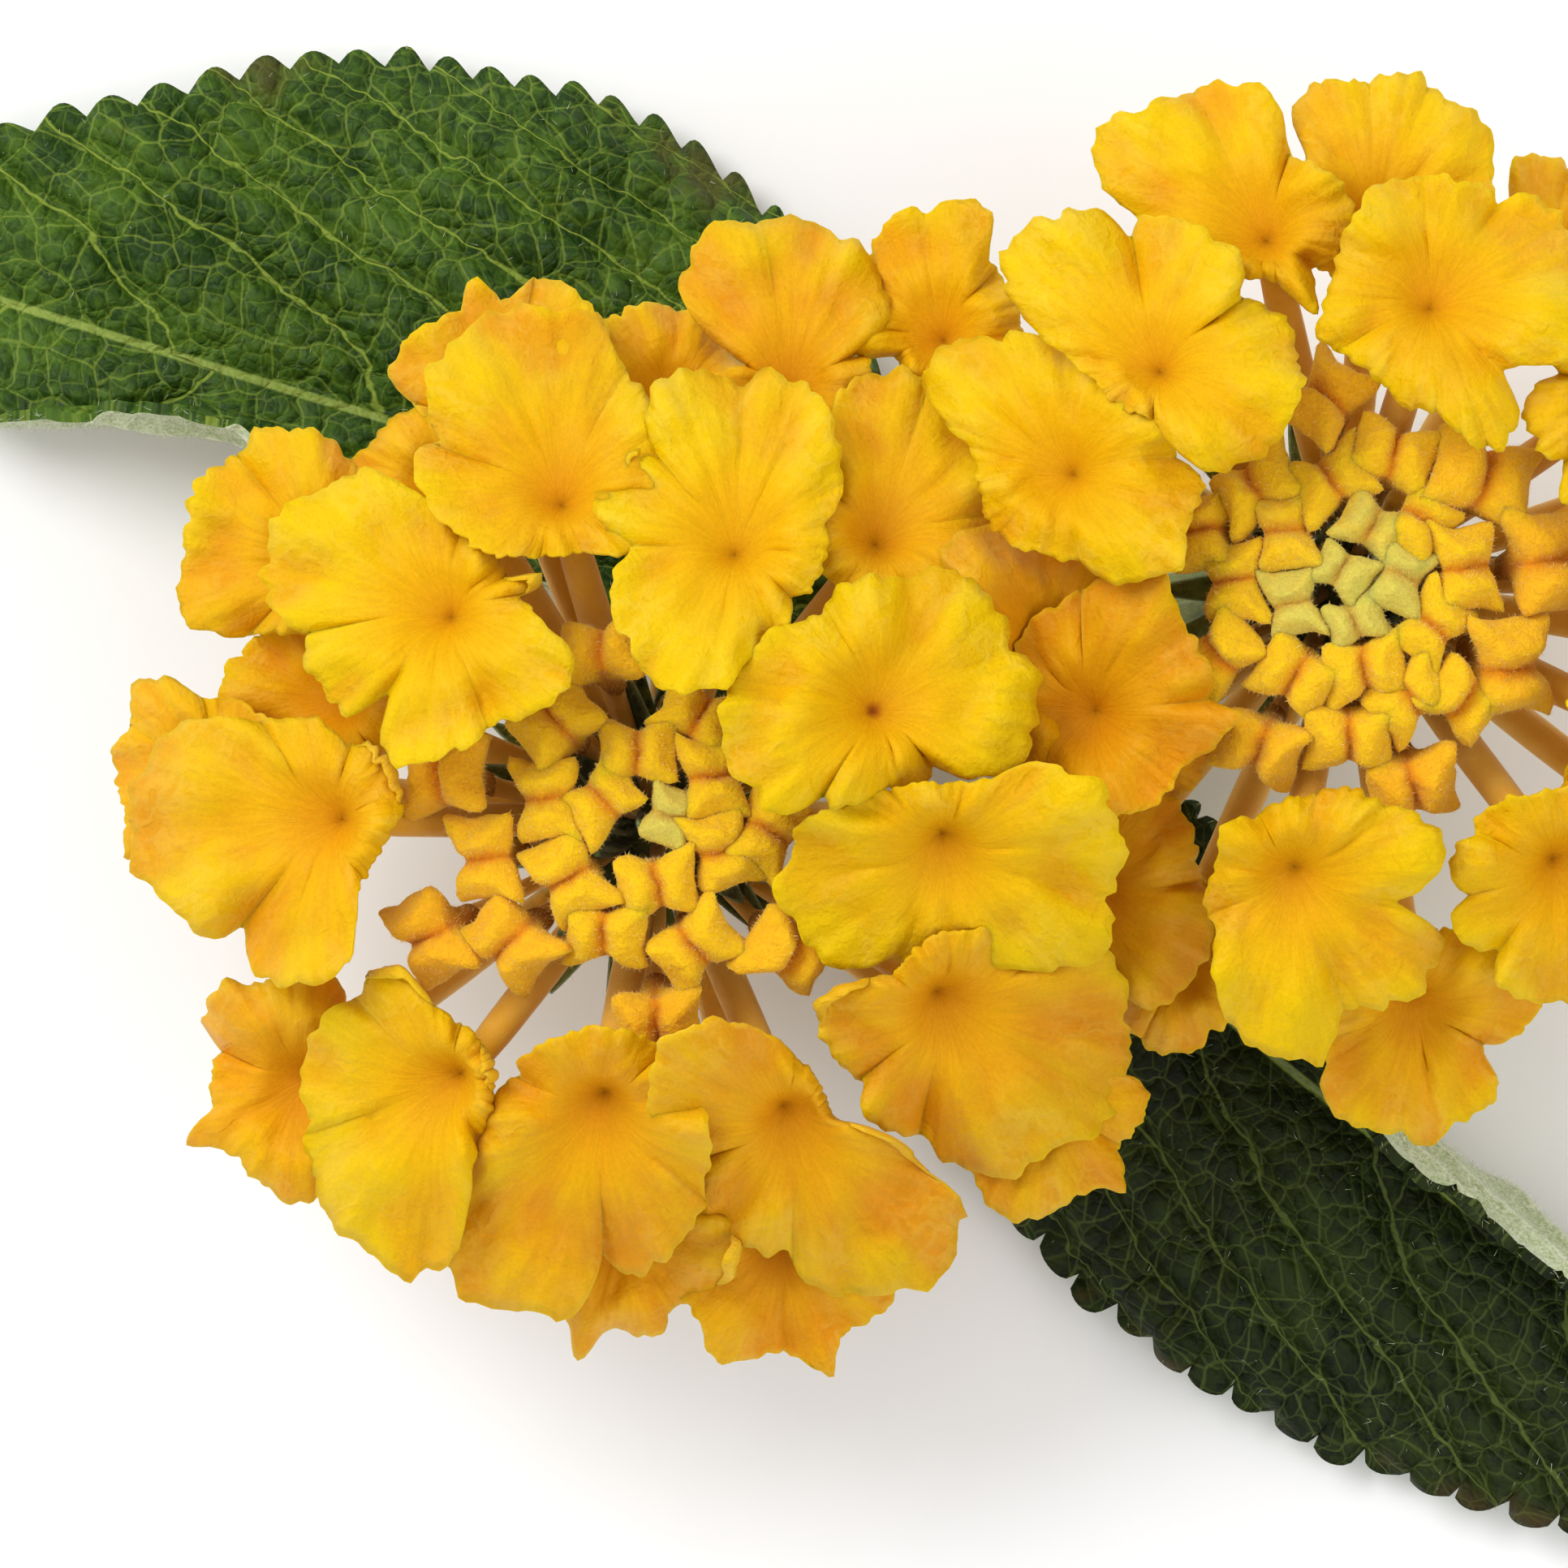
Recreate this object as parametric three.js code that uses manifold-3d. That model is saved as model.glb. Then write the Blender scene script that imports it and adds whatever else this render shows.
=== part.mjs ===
// A cut sprig of lantana that lies on a surface: a short stem, one pair of leaves and two flower heads.
// Millimetres, +Z up. Plan positions below are measured from the leaf node of the stem.
import * as THREE from "three";
import { mergeVertices } from "three/addons/utils/BufferGeometryUtils.js";
import Module from "manifold-3d";

const wasm = await Module();
wasm.setup();

// ---- sizes -------------------------------------------------------------------------------------

const PETAL_THICKNESS = 0.62;
const LEAF_THICKNESS = 0.6;
const GAP = 0.3; // clear space kept between two nodes
const MELT = 0.07; // edges shorter than this are closed up after joining

const STEM_RADIUS = 1.4;
const NODE_RADIUS = 1.8; // the swelling that carries the leaves
const NODE_HEIGHT = 4.3;
const HEAD_HEIGHT = 10.5; // from the surface to the middle of a head's core
const CORE_RADIUS = 2.2;
const RECEPTACLE_RADIUS = 1.35;
const PEDUNCLE_RADIUS = 0.85;

const TUBE_ROOT_RADIUS = 0.5;
const TUBE_MOUTH_RADIUS = 0.8;
const TUBE_SIDES = 5;
const LIMB_STEPS = 14; // points round the edge of an open floret
const BUD_LENGTH = 2.3;
const BUD_TOP = 8.8; // height of the middle buds over the core

const TOOTH_PITCH = 1.42;
const TOOTH_HEIGHT = 0.62;
const BEND = 1.7; // arc over which the rolled half of a leaf turns up

// The middle of the bounding box, measured from the leaf node.
const BOX_MIDDLE = [-3.63, -3.91];

// ---- hand-set rows -----------------------------------------------------------------------------

// Open florets of a head. mouth: place of the throat from the head's middle; lean: the way the limb
// faces [azimuth, degrees off upright]; lobes: [azimuth, reach, half width in degrees, curl].
const LEFT_FLORETS = [
  {
    mouth: [-6.6, 6.5, 10.2],
    lean: [135, 28],
    lobes: [
      [113, 4.6, 34], [168, 5.4, 24], [226, 4.5, 18], [257, 4.8, 12], [318, 4.0, 34],
      [22, 3.2, 14, 1.2], [62, 3.0, 20, 0.8],
    ],
  },
  {
    mouth: [2.4, 8.5, 10.6],
    lean: [90, 26],
    lobes: [
      [98, 5.4, 22], [64, 5.3, 24], [130, 4.6, 17], [168, 4.3, 20], [213, 4.4, 17],
      [251, 4.7, 24], [290, 3.8, 13], [335, 3.0, 18], [15, 3.2, 14],
    ],
  },
  {
    mouth: [6.9, 3.5, 11.4],
    lean: [30, 24],
    lobes: [
      [65, 4.4, 32], [12, 4.8, 28], [327, 4.1, 16], [283, 2.8, 16], [251, 3.3, 11],
      [223, 5.0, 13], [180, 4.8, 24], [136, 3.8, 20],
    ],
  },
  {
    mouth: [8.8, -1.0, 10.6],
    lean: [275, 38],
    lobes: [
      [6, 5.5, 22], [322, 5.3, 21], [284, 3.6, 20], [229, 4.9, 18], [190, 5.0, 14],
      [160, 4.2, 15], [98, 2.5, 40], [38, 4.5, 18],
    ],
  },
  {
    mouth: [-3.0, 10.1, 9.2],
    lean: [100, 30],
    lobes: [
      [93, 5.3, 24], [60, 4.4, 22], [134, 5.3, 18], [160, 4.8, 13], [228, 3.0, 22],
      [275, 2.2, 25], [325, 2.3, 25], [15, 2.8, 20],
    ],
  },
  {
    mouth: [6.9, 8.9, 8.6],
    lean: [65, 32],
    lobes: [
      [90, 5.0, 20], [60, 5.4, 18], [26, 4.6, 22], [350, 3.2, 18], [130, 2.4, 28], [210, 2.1, 38],
      [280, 2.3, 30],
    ],
  },
  {
    mouth: [-10.2, 0.0, 8.8],
    lean: [180, 34],
    lobes: [
      [180, 5.9, 22], [147, 5.0, 19], [105, 3.1, 20, 0.6], [25, 2.6, 22, 0.8], [320, 2.1, 25],
      [264, 5.2, 16], [227, 5.3, 12], [207, 5.7, 12],
    ],
  },
  {
    mouth: [-6.6, -8.2, 8.0],
    lean: [215, 40],
    lobes: [
      [114, 4.0, 18, 0.8], [150, 4.2, 18], [182, 4.3, 18], [228, 5.8, 18], [255, 6.0, 15],
      [276, 5.4, 10], [60, 2.1, 25, 1.0], [350, 2.0, 30, 0.6],
    ],
  },
  {
    mouth: [-1.8, -9.0, 8.8],
    lean: [255, 40],
    lobes: [
      [95, 2.5, 42], [42, 3.2, 20], [345, 3.6, 22], [292, 5.0, 19], [255, 6.8, 15],
      [232, 6.5, 15], [205, 4.5, 15], [160, 2.9, 20],
    ],
  },
  {
    mouth: [4.1, -9.4, 7.8],
    lean: [290, 40],
    lobes: [
      [138, 4.5, 17], [112, 3.6, 18], [45, 2.1, 25, 1.4], [8, 2.8, 16, 1.2], [335, 5.9, 17],
      [308, 6.7, 15], [285, 5.6, 14], [250, 4.1, 17], [225, 3.6, 14],
    ],
  },
  {
    mouth: [8.9, -5.8, 7.6],
    lean: [300, 38],
    lobes: [
      [180, 3.9, 16, 1.0], [215, 3.8, 17], [245, 4.1, 14], [285, 5.4, 16], [312, 5.8, 16],
      [343, 6.1, 19], [12, 4.8, 18], [90, 1.8, 48],
    ],
  },
  {
    mouth: [-4.8, 12.2, 5.8],
    lean: [115, 28],
    lobes: [
      [150, 3.8, 18], [101, 4.8, 6], [77, 4.6, 18], [45, 3.5, 20], [200, 2.0, 30], [280, 1.8, 45],
    ],
  },
  {
    mouth: [-6.2, 10.0, 7.0],
    lean: [145, 34],
    lobes: [[159, 3.5, 20], [132, 3.0, 20], [200, 3.0, 22], [90, 2.0, 30], [270, 1.8, 40]],
  },
  {
    mouth: [-11.2, 4.0, 5.2],
    lean: [165, 36],
    lobes: [[100, 1.9, 40], [150, 2.3, 30], [200, 2.4, 30], [250, 2.1, 30], [330, 1.9, 40]],
  },
  {
    mouth: [-10.4, 8.0, 5.8],
    lean: [148, 36],
    lobes: [
      [104, 4.1, 18], [135, 3.8, 12], [160, 4.6, 14], [208, 4.2, 17], [246, 4.8, 18],
      [40, 1.9, 40], [310, 1.9, 30],
    ],
  },
  {
    mouth: [-13.5, 1.2, 4.6],
    lean: [176, 40],
    lobes: [
      [116, 3.8, 16], [136, 3.6, 14], [174, 3.6, 8], [220, 3.9, 17], [50, 2.0, 40],
      [300, 2.2, 40],
    ],
  },
  {
    mouth: [-11.0, -8.2, 3.8],
    lean: [218, 38],
    lobes: [
      [136, 3.6, 15], [165, 2.8, 14], [206, 3.8, 7], [238, 3.0, 14], [262, 3.5, 16],
      [90, 3.2, 20], [340, 1.9, 40],
    ],
  },
  {
    mouth: [3.8, -13.2, 3.2],
    lean: [275, 38],
    lobes: [
      [209, 3.1, 16], [247, 3.9, 14], [293, 4.1, 7], [330, 3.9, 15], [60, 1.8, 40],
      [140, 2.0, 35],
    ],
  },
  {
    mouth: [-1.2, -12.8, 4.0],
    lean: [258, 40],
    lobes: [
      [252, 4.1, 8], [220, 3.0, 16], [288, 3.1, 14], [344, 3.6, 14, 1.0], [70, 1.8, 40],
      [150, 2.0, 35],
    ],
  },
  {
    mouth: [11.8, -8.5, 3.4],
    lean: [312, 36],
    lobes: [
      [256, 4.0, 18], [222, 2.9, 16], [312, 3.7, 7], [353, 3.0, 16], [290, 2.9, 14],
      [60, 1.8, 40], [140, 1.8, 35],
    ],
  },
  {
    mouth: [11.5, 5.5, 6.6],
    lean: [0, 38],
    lobes: [
      [95, 3.0, 26], [55, 2.5, 20], [18, 2.2, 22], [330, 3.2, 16], [306, 4.3, 15], [280, 4.1, 14],
      [200, 1.9, 45],
    ],
  },
  {
    mouth: [4.0, 13.5, 5.6],
    lean: [85, 22],
    lobes: [
      [113, 5.4, 13], [132, 4.9, 13], [86, 5.2, 16], [60, 4.6, 15], [37, 4.1, 16], [350, 1.9, 35],
      [200, 2.0, 30], [270, 1.8, 35],
    ],
  },
  {
    mouth: [0.5, 13.0, 4.6],
    lean: [95, 28],
    lobes: [[100, 3.1, 24], [62, 2.6, 22], [140, 2.5, 20], [230, 1.8, 50], [330, 1.8, 40]],
  },
];

const RIGHT_FLORETS = [
  {
    mouth: [-8.8, 3.5, 9.6],
    lean: [160, 28],
    lobes: [
      [145, 5.4, 17], [112, 5.0, 22], [50, 4.8, 28], [0, 4.3, 20], [305, 4.3, 26], [262, 2.6, 20],
      [225, 2.6, 20], [172, 3.4, 14],
    ],
  },
  {
    mouth: [-6.0, 6.8, 11.0],
    lean: [125, 26],
    lobes: [
      [152, 5.1, 17], [120, 5.5, 17], [77, 4.5, 21], [40, 4.0, 20], [0, 4.6, 22], [320, 4.5, 21],
      [287, 2.4, 20], [232, 1.9, 30], [190, 2.4, 16],
    ],
  },
  {
    mouth: [-2.6, 10.9, 8.6],
    lean: [110, 26],
    lobes: [
      [150, 5.5, 19], [119, 4.9, 15], [94, 4.6, 14], [37, 2.8, 20], [0, 2.8, 20], [303, 3.0, 13],
      [245, 1.9, 25],
    ],
  },
  {
    mouth: [0.8, 11.2, 7.6],
    lean: [85, 24],
    lobes: [
      [126, 4.1, 15], [100, 4.5, 17], [70, 4.5, 21], [38, 4.4, 19], [12, 3.0, 20], [180, 1.9, 30],
      [270, 1.8, 40],
    ],
  },
  {
    mouth: [2.6, 8.8, 10.4],
    lean: [75, 26],
    lobes: [
      [150, 3.7, 20], [112, 3.8, 17], [80, 4.1, 17], [48, 4.5, 13], [15, 4.8, 21], [345, 4.2, 18],
      [309, 4.1, 9], [288, 4.9, 11], [256, 3.8, 16], [205, 3.5, 19],
    ],
  },
  {
    mouth: [-12.4, 8.0, 4.6],
    lean: [140, 28],
    lobes: [
      [94, 4.0, 18], [66, 3.4, 16], [133, 3.0, 18], [190, 1.9, 25], [20, 1.9, 30], [280, 1.8, 40],
    ],
  },
  {
    mouth: [-7.0, -2.8, 8.6],
    lean: [195, 30],
    lobes: [
      [82, 3.1, 26], [30, 2.5, 20], [349, 4.0, 13], [328, 3.1, 14], [150, 1.9, 40],
      [240, 1.8, 40],
    ],
  },
  {
    mouth: [-6.9, -4.9, 6.4],
    lean: [200, 26],
    lobes: [[2, 2.9, 15], [330, 2.4, 20], [40, 1.9, 25], [120, 1.8, 40], [220, 1.8, 40]],
  },
  {
    mouth: [-6.9, -10.2, 4.6],
    lean: [240, 30],
    lobes: [
      [62, 4.1, 17], [20, 3.0, 17], [350, 2.8, 19], [315, 3.1, 17], [281, 3.0, 17],
      [105, 3.8, 17], [200, 1.8, 45],
    ],
  },
  {
    mouth: [-1.7, -9.1, 9.4],
    lean: [262, 28],
    lobes: [
      [62, 3.2, 28], [22, 4.8, 19], [336, 4.8, 21], [301, 4.8, 15], [272, 5.7, 13],
      [238, 4.2, 17], [190, 2.6, 24], [135, 2.8, 20],
    ],
  },
  {
    mouth: [6.6, -8.8, 8.4],
    lean: [310, 32],
    lobes: [
      [176, 3.5, 17], [212, 3.8, 15], [255, 4.2, 19], [290, 4.2, 19], [140, 3.0, 18],
      [100, 2.5, 25], [45, 3.5, 28], [0, 4.2, 24],
    ],
  },
  {
    mouth: [2.1, -13.0, 4.8],
    lean: [278, 34],
    lobes: [
      [224, 3.5, 17], [257, 4.1, 18], [283, 4.2, 13], [319, 3.4, 15], [358, 4.0, 17],
      [30, 2.5, 25], [120, 2.0, 38],
    ],
  },
  {
    mouth: [-5.1, -11.5, 2.8],
    lean: [252, 34],
    lobes: [[268, 3.0, 30], [228, 2.8, 22], [312, 2.5, 22], [60, 1.8, 50], [150, 1.8, 40]],
  },
  {
    mouth: [8.8, 6.0, 9.0],
    lean: [35, 30],
    lobes: [
      [60, 4.5, 26], [10, 4.8, 24], [315, 4.0, 24], [255, 4.2, 26], [200, 3.5, 22],
      [130, 3.8, 26],
    ],
  },
  {
    mouth: [10.6, 0.5, 8.6],
    lean: [0, 34],
    lobes: [
      [85, 4.1, 26], [35, 4.2, 22], [345, 4.6, 24], [295, 4.0, 22], [240, 3.5, 24],
      [150, 3.0, 30],
    ],
  },
  {
    mouth: [9.5, -4.6, 8.4],
    lean: [335, 34],
    lobes: [
      [70, 3.8, 24], [20, 4.4, 22], [330, 4.8, 24], [280, 4.1, 22], [225, 3.5, 22],
      [140, 3.0, 30],
    ],
  },
  {
    mouth: [6.1, 9.8, 4.8],
    lean: [52, 40],
    lobes: [
      [95, 3.5, 20], [55, 3.8, 20], [10, 4.0, 20], [320, 3.0, 24], [180, 1.9, 50], [250, 1.9, 40],
    ],
  },
  {
    mouth: [12.2, 4.0, 4.8],
    lean: [20, 42],
    lobes: [[75, 3.8, 22], [30, 3.5, 20], [345, 3.8, 22], [300, 3.0, 22], [180, 1.9, 50]],
  },
  {
    mouth: [12.6, -2.0, 4.4],
    lean: [350, 42],
    lobes: [[60, 3.8, 22], [10, 3.5, 20], [325, 3.8, 22], [275, 3.2, 22], [180, 1.9, 50]],
  },
  {
    mouth: [10.4, -8.1, 4.2],
    lean: [322, 42],
    lobes: [[30, 3.8, 22], [345, 3.5, 18], [305, 3.8, 22], [255, 3.2, 22], [150, 1.9, 50]],
  },
];

// Closed buds of a head: [x, y, azimuth across the crease, size].
const LEFT_BUDS = [
  [-3.4, 0.6, 95, 1.0], [-1.7, 0.6, 40, 0.95], [-0.6, 2.1, 0, 1.0], [1.7, 1.3, 95, 1.0],
  [1.3, 3.2, 330, 1.0], [0.4, 0.1, 70, 0.72], [2.0, -0.9, 110, 1.0], [0.0, -2.0, 10, 1.0],
  [-2.7, -1.8, 300, 1.05], [-5.3, -1.2, 95, 1.05], [-1.6, -3.5, 0, 1.0], [1.2, -3.9, 40, 1.05],
  [-4.5, -3.8, 320, 1.1], [-7.0, -3.6, 300, 1.1], [-3.1, 3.0, 40, 1.05], [-1.7, 5.2, 0, 1.05],
  [-6.5, 1.3, 0, 1.1], [0.0, -6.2, 10, 1.05], [4.0, -4.0, 330, 1.15], [3.4, -0.4, 60, 1.0],
];
const RIGHT_BUDS = [
  [-0.7, 5.7, 60, 1.1], [-2.8, 3.0, 30, 1.05], [-0.5, 3.2, 30, 1.0], [1.4, 4.0, 340, 1.05],
  [4.1, 3.3, 350, 1.3], [-1.9, 1.6, 100, 0.95], [0.8, 1.8, 330, 0.85], [2.2, 1.9, 50, 0.95],
  [-3.5, 0.1, 95, 1.0], [-1.7, -0.6, 100, 0.85], [-0.2, 0.4, 330, 0.75], [0.2, -1.1, 20, 0.75],
  [1.6, 0.2, 70, 0.9], [3.6, 0.5, 95, 1.05], [-3.9, -2.1, 40, 1.0], [-1.6, -2.8, 330, 1.0],
  [0.5, -2.6, 10, 1.0], [2.6, -1.3, 50, 0.95], [1.9, -3.5, 40, 1.0], [0.0, -4.7, 0, 1.05],
  [-2.7, -5.0, 340, 1.05], [2.0, -6.2, 10, 1.1], [3.5, -3.5, 320, 1.0], [5.0, -2.5, 100, 1.25],
  [6.2, 0.7, 100, 1.25], [-4.5, 1.6, 100, 1.0],
];

// Bracts under a head: [azimuth, length].
const BRACTS = [
  [20, 4.6], [62, 5.2], [108, 4.8], [150, 5.4],
  [196, 4.6], [238, 5.8], [283, 5.6], [326, 5.0],
];

const HEADS = [
  {
    side: "left",
    middle: [-9.75, -4.0],
    stalkStart: [-1.9, -0.75, 5.7],
    florets: LEFT_FLORETS,
    buds: LEFT_BUDS,
  },
  {
    side: "right",
    middle: [11.5, 3.25],
    stalkStart: [1.75, 0.55, 6.1],
    florets: RIGHT_FLORETS,
    buds: RIGHT_BUDS,
  },
];

// ---- helpers -----------------------------------------------------------------------------------

const radians = (degrees) => (degrees * Math.PI) / 180;
const vector = (values) => new THREE.Vector3(...values);
const apart = (a, b) => Math.abs(((a - b + 540) % 360) - 180);

// Value at x of a line through hand-set [x, value] stations, eased between them.
function along(stations, x) {
  let i = 0;
  while (i < stations.length - 2 && x > stations[i + 1][0]) i += 1;
  const [x0, y0] = stations[i];
  const [x1, y1] = stations[i + 1];
  const t = Math.min(1, Math.max(0, (x - x0) / (x1 - x0)));
  return y0 + (y1 - y0) * t * t * (3 - 2 * t);
}

function solid(points, faces) {
  const mesh = new wasm.Mesh({
    numProp: 3,
    vertProperties: new Float32Array(points.flat()),
    triVerts: new Uint32Array(faces.flat()),
  });
  return new wasm.Manifold(mesh);
}

// Joins bodies and keeps the largest piece, so no loose scrap is left.
function fused(bodies) {
  const parts = wasm.Manifold.union(bodies).simplify(MELT).decompose();
  return parts.reduce((best, part) => (part.volume() > best.volume() ? part : best));
}

// A closed rod along a curve, with a radius for each end and a flat-sided section.
function rod(curve, radiusAt, sides, steps) {
  const frames = curve.computeFrenetFrames(steps, false);
  const points = [];
  const faces = [];
  for (let i = 0; i <= steps; i += 1) {
    const centre = curve.getPointAt(i / steps);
    const radius = radiusAt(i / steps);
    for (let k = 0; k < sides; k += 1) {
      const a = (2 * Math.PI * (k + 0.5)) / sides;
      const point = centre.clone();
      point.addScaledVector(frames.normals[i], radius * Math.cos(a));
      point.addScaledVector(frames.binormals[i], radius * Math.sin(a));
      points.push(point.toArray());
    }
  }
  const first = points.push(curve.getPointAt(0).toArray()) - 1;
  const last = points.push(curve.getPointAt(1).toArray()) - 1;
  const end = steps * sides;
  for (let k = 0; k < sides; k += 1) {
    const next = (k + 1) % sides;
    for (let i = 0; i < steps; i += 1) {
      const a = i * sides + k;
      const b = i * sides + next;
      faces.push([a, b, b + sides], [a, b + sides, a + sides]);
    }
    faces.push([first, next, k], [last, end + k, end + next]);
  }
  return solid(points, faces);
}

function ball(centre, radius, flat, segments) {
  const sphere = wasm.Manifold.sphere(radius, segments).scale([1, 1, flat]);
  return sphere.translate(centre);
}

// ---- open florets ------------------------------------------------------------------------------

// How far the edge of a limb reaches from its throat at an azimuth.
function reachAt(lobes, azimuth) {
  let reach = 1.7;
  for (const [middle, length, halfWidth] of lobes) {
    const t = apart(azimuth, middle) / halfWidth;
    const share = t < 1 ? 1 - 0.26 * t * t : 0.74 - 0.5 * (t - 1);
    reach = Math.max(reach, length * share);
  }
  return reach;
}

// The furthest reach about an azimuth, so that a narrow lobe isn't lost between two points of the edge.
function fullestNear(lobes, azimuth) {
  const turn = 120 / LIMB_STEPS;
  return Math.max(...[-turn, 0, turn].map((step) => reachAt(lobes, azimuth + step)));
}

function curlAt(lobes, azimuth) {
  let curl = 0;
  for (const [middle, , halfWidth, height = 0] of lobes) {
    const t = Math.min(1, apart(azimuth, middle) / halfWidth);
    curl = Math.max(curl, height * (1 - t * t));
  }
  return curl;
}

// The thin limb of a floret: a wavy sheet that slopes down the way it leans.
function limb({ mouth, lean, lobes }, index, extra) {
  const slope = Math.tan(radians(lean[1]));
  const slopeX = -slope * Math.cos(radians(lean[0]));
  const slopeY = -slope * Math.sin(radians(lean[0]));
  const thick = PETAL_THICKNESS / Math.cos(radians(lean[1])) + 2 * extra;
  const top = [[mouth[0], mouth[1], mouth[2] - 0.35]];
  for (const share of [0.5, 1]) {
    for (let k = 0; k < LIMB_STEPS; k += 1) {
      const azimuth = (360 * k) / LIMB_STEPS;
      const a = radians(azimuth);
      const reach = share * (fullestNear(lobes, azimuth) + extra);
      const dx = reach * Math.cos(a);
      const dy = reach * Math.sin(a);
      const wave = 0.28 * Math.sin(4 * a + index) * share * share;
      const droop = share < 1 ? 0.3 : 0;
      const lift = share < 1 ? 0 : curlAt(lobes, azimuth);
      const z = mouth[2] + slopeX * dx + slopeY * dy + wave + droop + lift;
      top.push([mouth[0] + dx, mouth[1] + dy, z]);
    }
  }
  const count = top.length;
  const lifted = top.map(([x, y, z]) => [x, y, z + extra]);
  const points = [...lifted, ...lifted.map(([x, y, z]) => [x, y, z - thick])];
  const faces = [];
  for (let k = 0; k < LIMB_STEPS; k += 1) {
    const inner = 1 + k;
    const innerNext = 1 + ((k + 1) % LIMB_STEPS);
    const outer = inner + LIMB_STEPS;
    const outerNext = innerNext + LIMB_STEPS;
    const sheet = [[0, inner, innerNext], [inner, outer, outerNext], [inner, outerNext, innerNext]];
    for (const [a, b, c] of sheet) {
      faces.push([a, b, c], [a + count, c + count, b + count]);
    }
    faces.push([outer, outer + count, outerNext + count], [outer, outerNext + count, outerNext]);
  }
  return solid(points, faces);
}

function tube({ mouth, lean }, extra) {
  const [x, y, z] = mouth;
  const facing = [Math.cos(radians(lean[0])), Math.sin(radians(lean[0]))];
  const root = vector([0.05 * x, 0.05 * y, 0.4]);
  const middle = vector([0.62 * x - 0.8 * facing[0], 0.62 * y - 0.8 * facing[1], 0.62 * z + 0.1]);
  const end = vector([x, y, z - 0.8]);
  const curve = new THREE.QuadraticBezierCurve3(root, middle, end);
  const radiusAt = (t) => TUBE_ROOT_RADIUS + (TUBE_MOUTH_RADIUS - TUBE_ROOT_RADIUS) * t * t + extra;
  return rod(curve, radiusAt, TUBE_SIDES, 2);
}

// ---- buds --------------------------------------------------------------------------------------

// A closed bud: two pillows with a crease between them and four pointed corners, on its own tube.
function bud([x, y, azimuth, size]) {
  const out = Math.hypot(x, y);
  const head = vector([x, y, BUD_TOP - 0.03 * out * out]);
  const axis = vector([x * 0.12, y * 0.12, 1]).normalize();
  const across = vector([Math.cos(radians(azimuth)), Math.sin(radians(azimuth)), 0]);
  across.addScaledVector(axis, -across.dot(axis)).normalize();
  const side = axis.clone().cross(across);
  const half = (BUD_LENGTH / 2) * size;
  const outline = [
    [1, 0.86], [0, 0.56], [-1, 0.86], [-0.8, 0],
    [-1, -0.86], [0, -0.56], [1, -0.86], [0.8, 0],
  ];
  const place = (a, b, c) => {
    const point = head.clone();
    point.addScaledVector(across, a * half);
    point.addScaledVector(side, b * half);
    point.addScaledVector(axis, c * half);
    return point.toArray();
  };
  const points = outline.map(([a, b]) => place(a, b, 0));
  outline.forEach((_, k) => {
    const turn = radians(45 + 45 * k);
    points.push(place(0.4 * Math.cos(turn), 0.4 * Math.sin(turn), -1));
  });
  const crease = points.push(place(0, 0, 0.18)) - 1;
  const left = points.push(place(-0.5, 0, 0.46)) - 1;
  const right = points.push(place(0.5, 0, 0.46)) - 1;
  const root = points.push([0.1 * x, 0.1 * y, 0.6]) - 1;
  const faces = [];
  const fan = (middle, ring) => {
    ring.forEach((point, k) => faces.push([middle, point, ring[(k + 1) % ring.length]]));
  };
  fan(left, [1, 2, 3, 4, 5, crease]);
  fan(right, [5, 6, 7, 0, 1, crease]);
  for (let k = 0; k < 8; k += 1) {
    const next = (k + 1) % 8;
    faces.push([k, k + 8, next + 8], [k, next + 8, next], [8 + k, root, 8 + next]);
  }
  return solid(points, faces);
}

// ---- heads -------------------------------------------------------------------------------------

function flowers(head) {
  const bodies = [ball([0, 0, 2.2], CORE_RADIUS, 1.1, 12)];
  head.florets.forEach((floret, index) => {
    bodies.push(limb(floret, index, 0), tube(floret, 0));
  });
  head.buds.forEach((row) => bodies.push(bud(row)));
  return fused(bodies);
}

// The space a head's florets need, used to keep the other head clear of them.
function clearance(head) {
  const bodies = head.florets.flatMap((floret, index) => [limb(floret, index, GAP), tube(floret, GAP)]);
  return wasm.Manifold.union(bodies);
}

// A narrow leaf-like bract that starts in the receptacle and bends up a little at its tip.
function bract([azimuth, length]) {
  const rows = [[0.4, 0.35, -1.1], [0.5, 0.75, -0.9], [0.8, 0.6, -0.75], [1, 0.12, -0.45]];
  const points = [];
  rows.forEach(([share, width, z]) => {
    points.push([share * length, -width, z], [share * length, width, z]);
  });
  rows.forEach(([share, width, z]) => {
    points.push([share * length, -width, z - 0.6], [share * length, width, z - 0.6]);
  });
  points[0][0] = 0.5;
  points[1][0] = 0.5;
  points[8][0] = 0.5;
  points[9][0] = 0.5;
  const faces = [];
  for (let i = 0; i < 3; i += 1) {
    const a = 2 * i;
    faces.push([a, a + 2, a + 3], [a, a + 3, a + 1]);
    faces.push([a + 8, a + 11, a + 10], [a + 8, a + 9, a + 11]);
    faces.push([a, a + 8, a + 10], [a, a + 10, a + 2]);
    faces.push([a + 1, a + 3, a + 11], [a + 1, a + 11, a + 9]);
  }
  faces.push([0, 1, 9], [0, 9, 8], [6, 14, 15], [6, 15, 7]);
  return solid(points, faces).rotate([0, 0, azimuth]);
}

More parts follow.
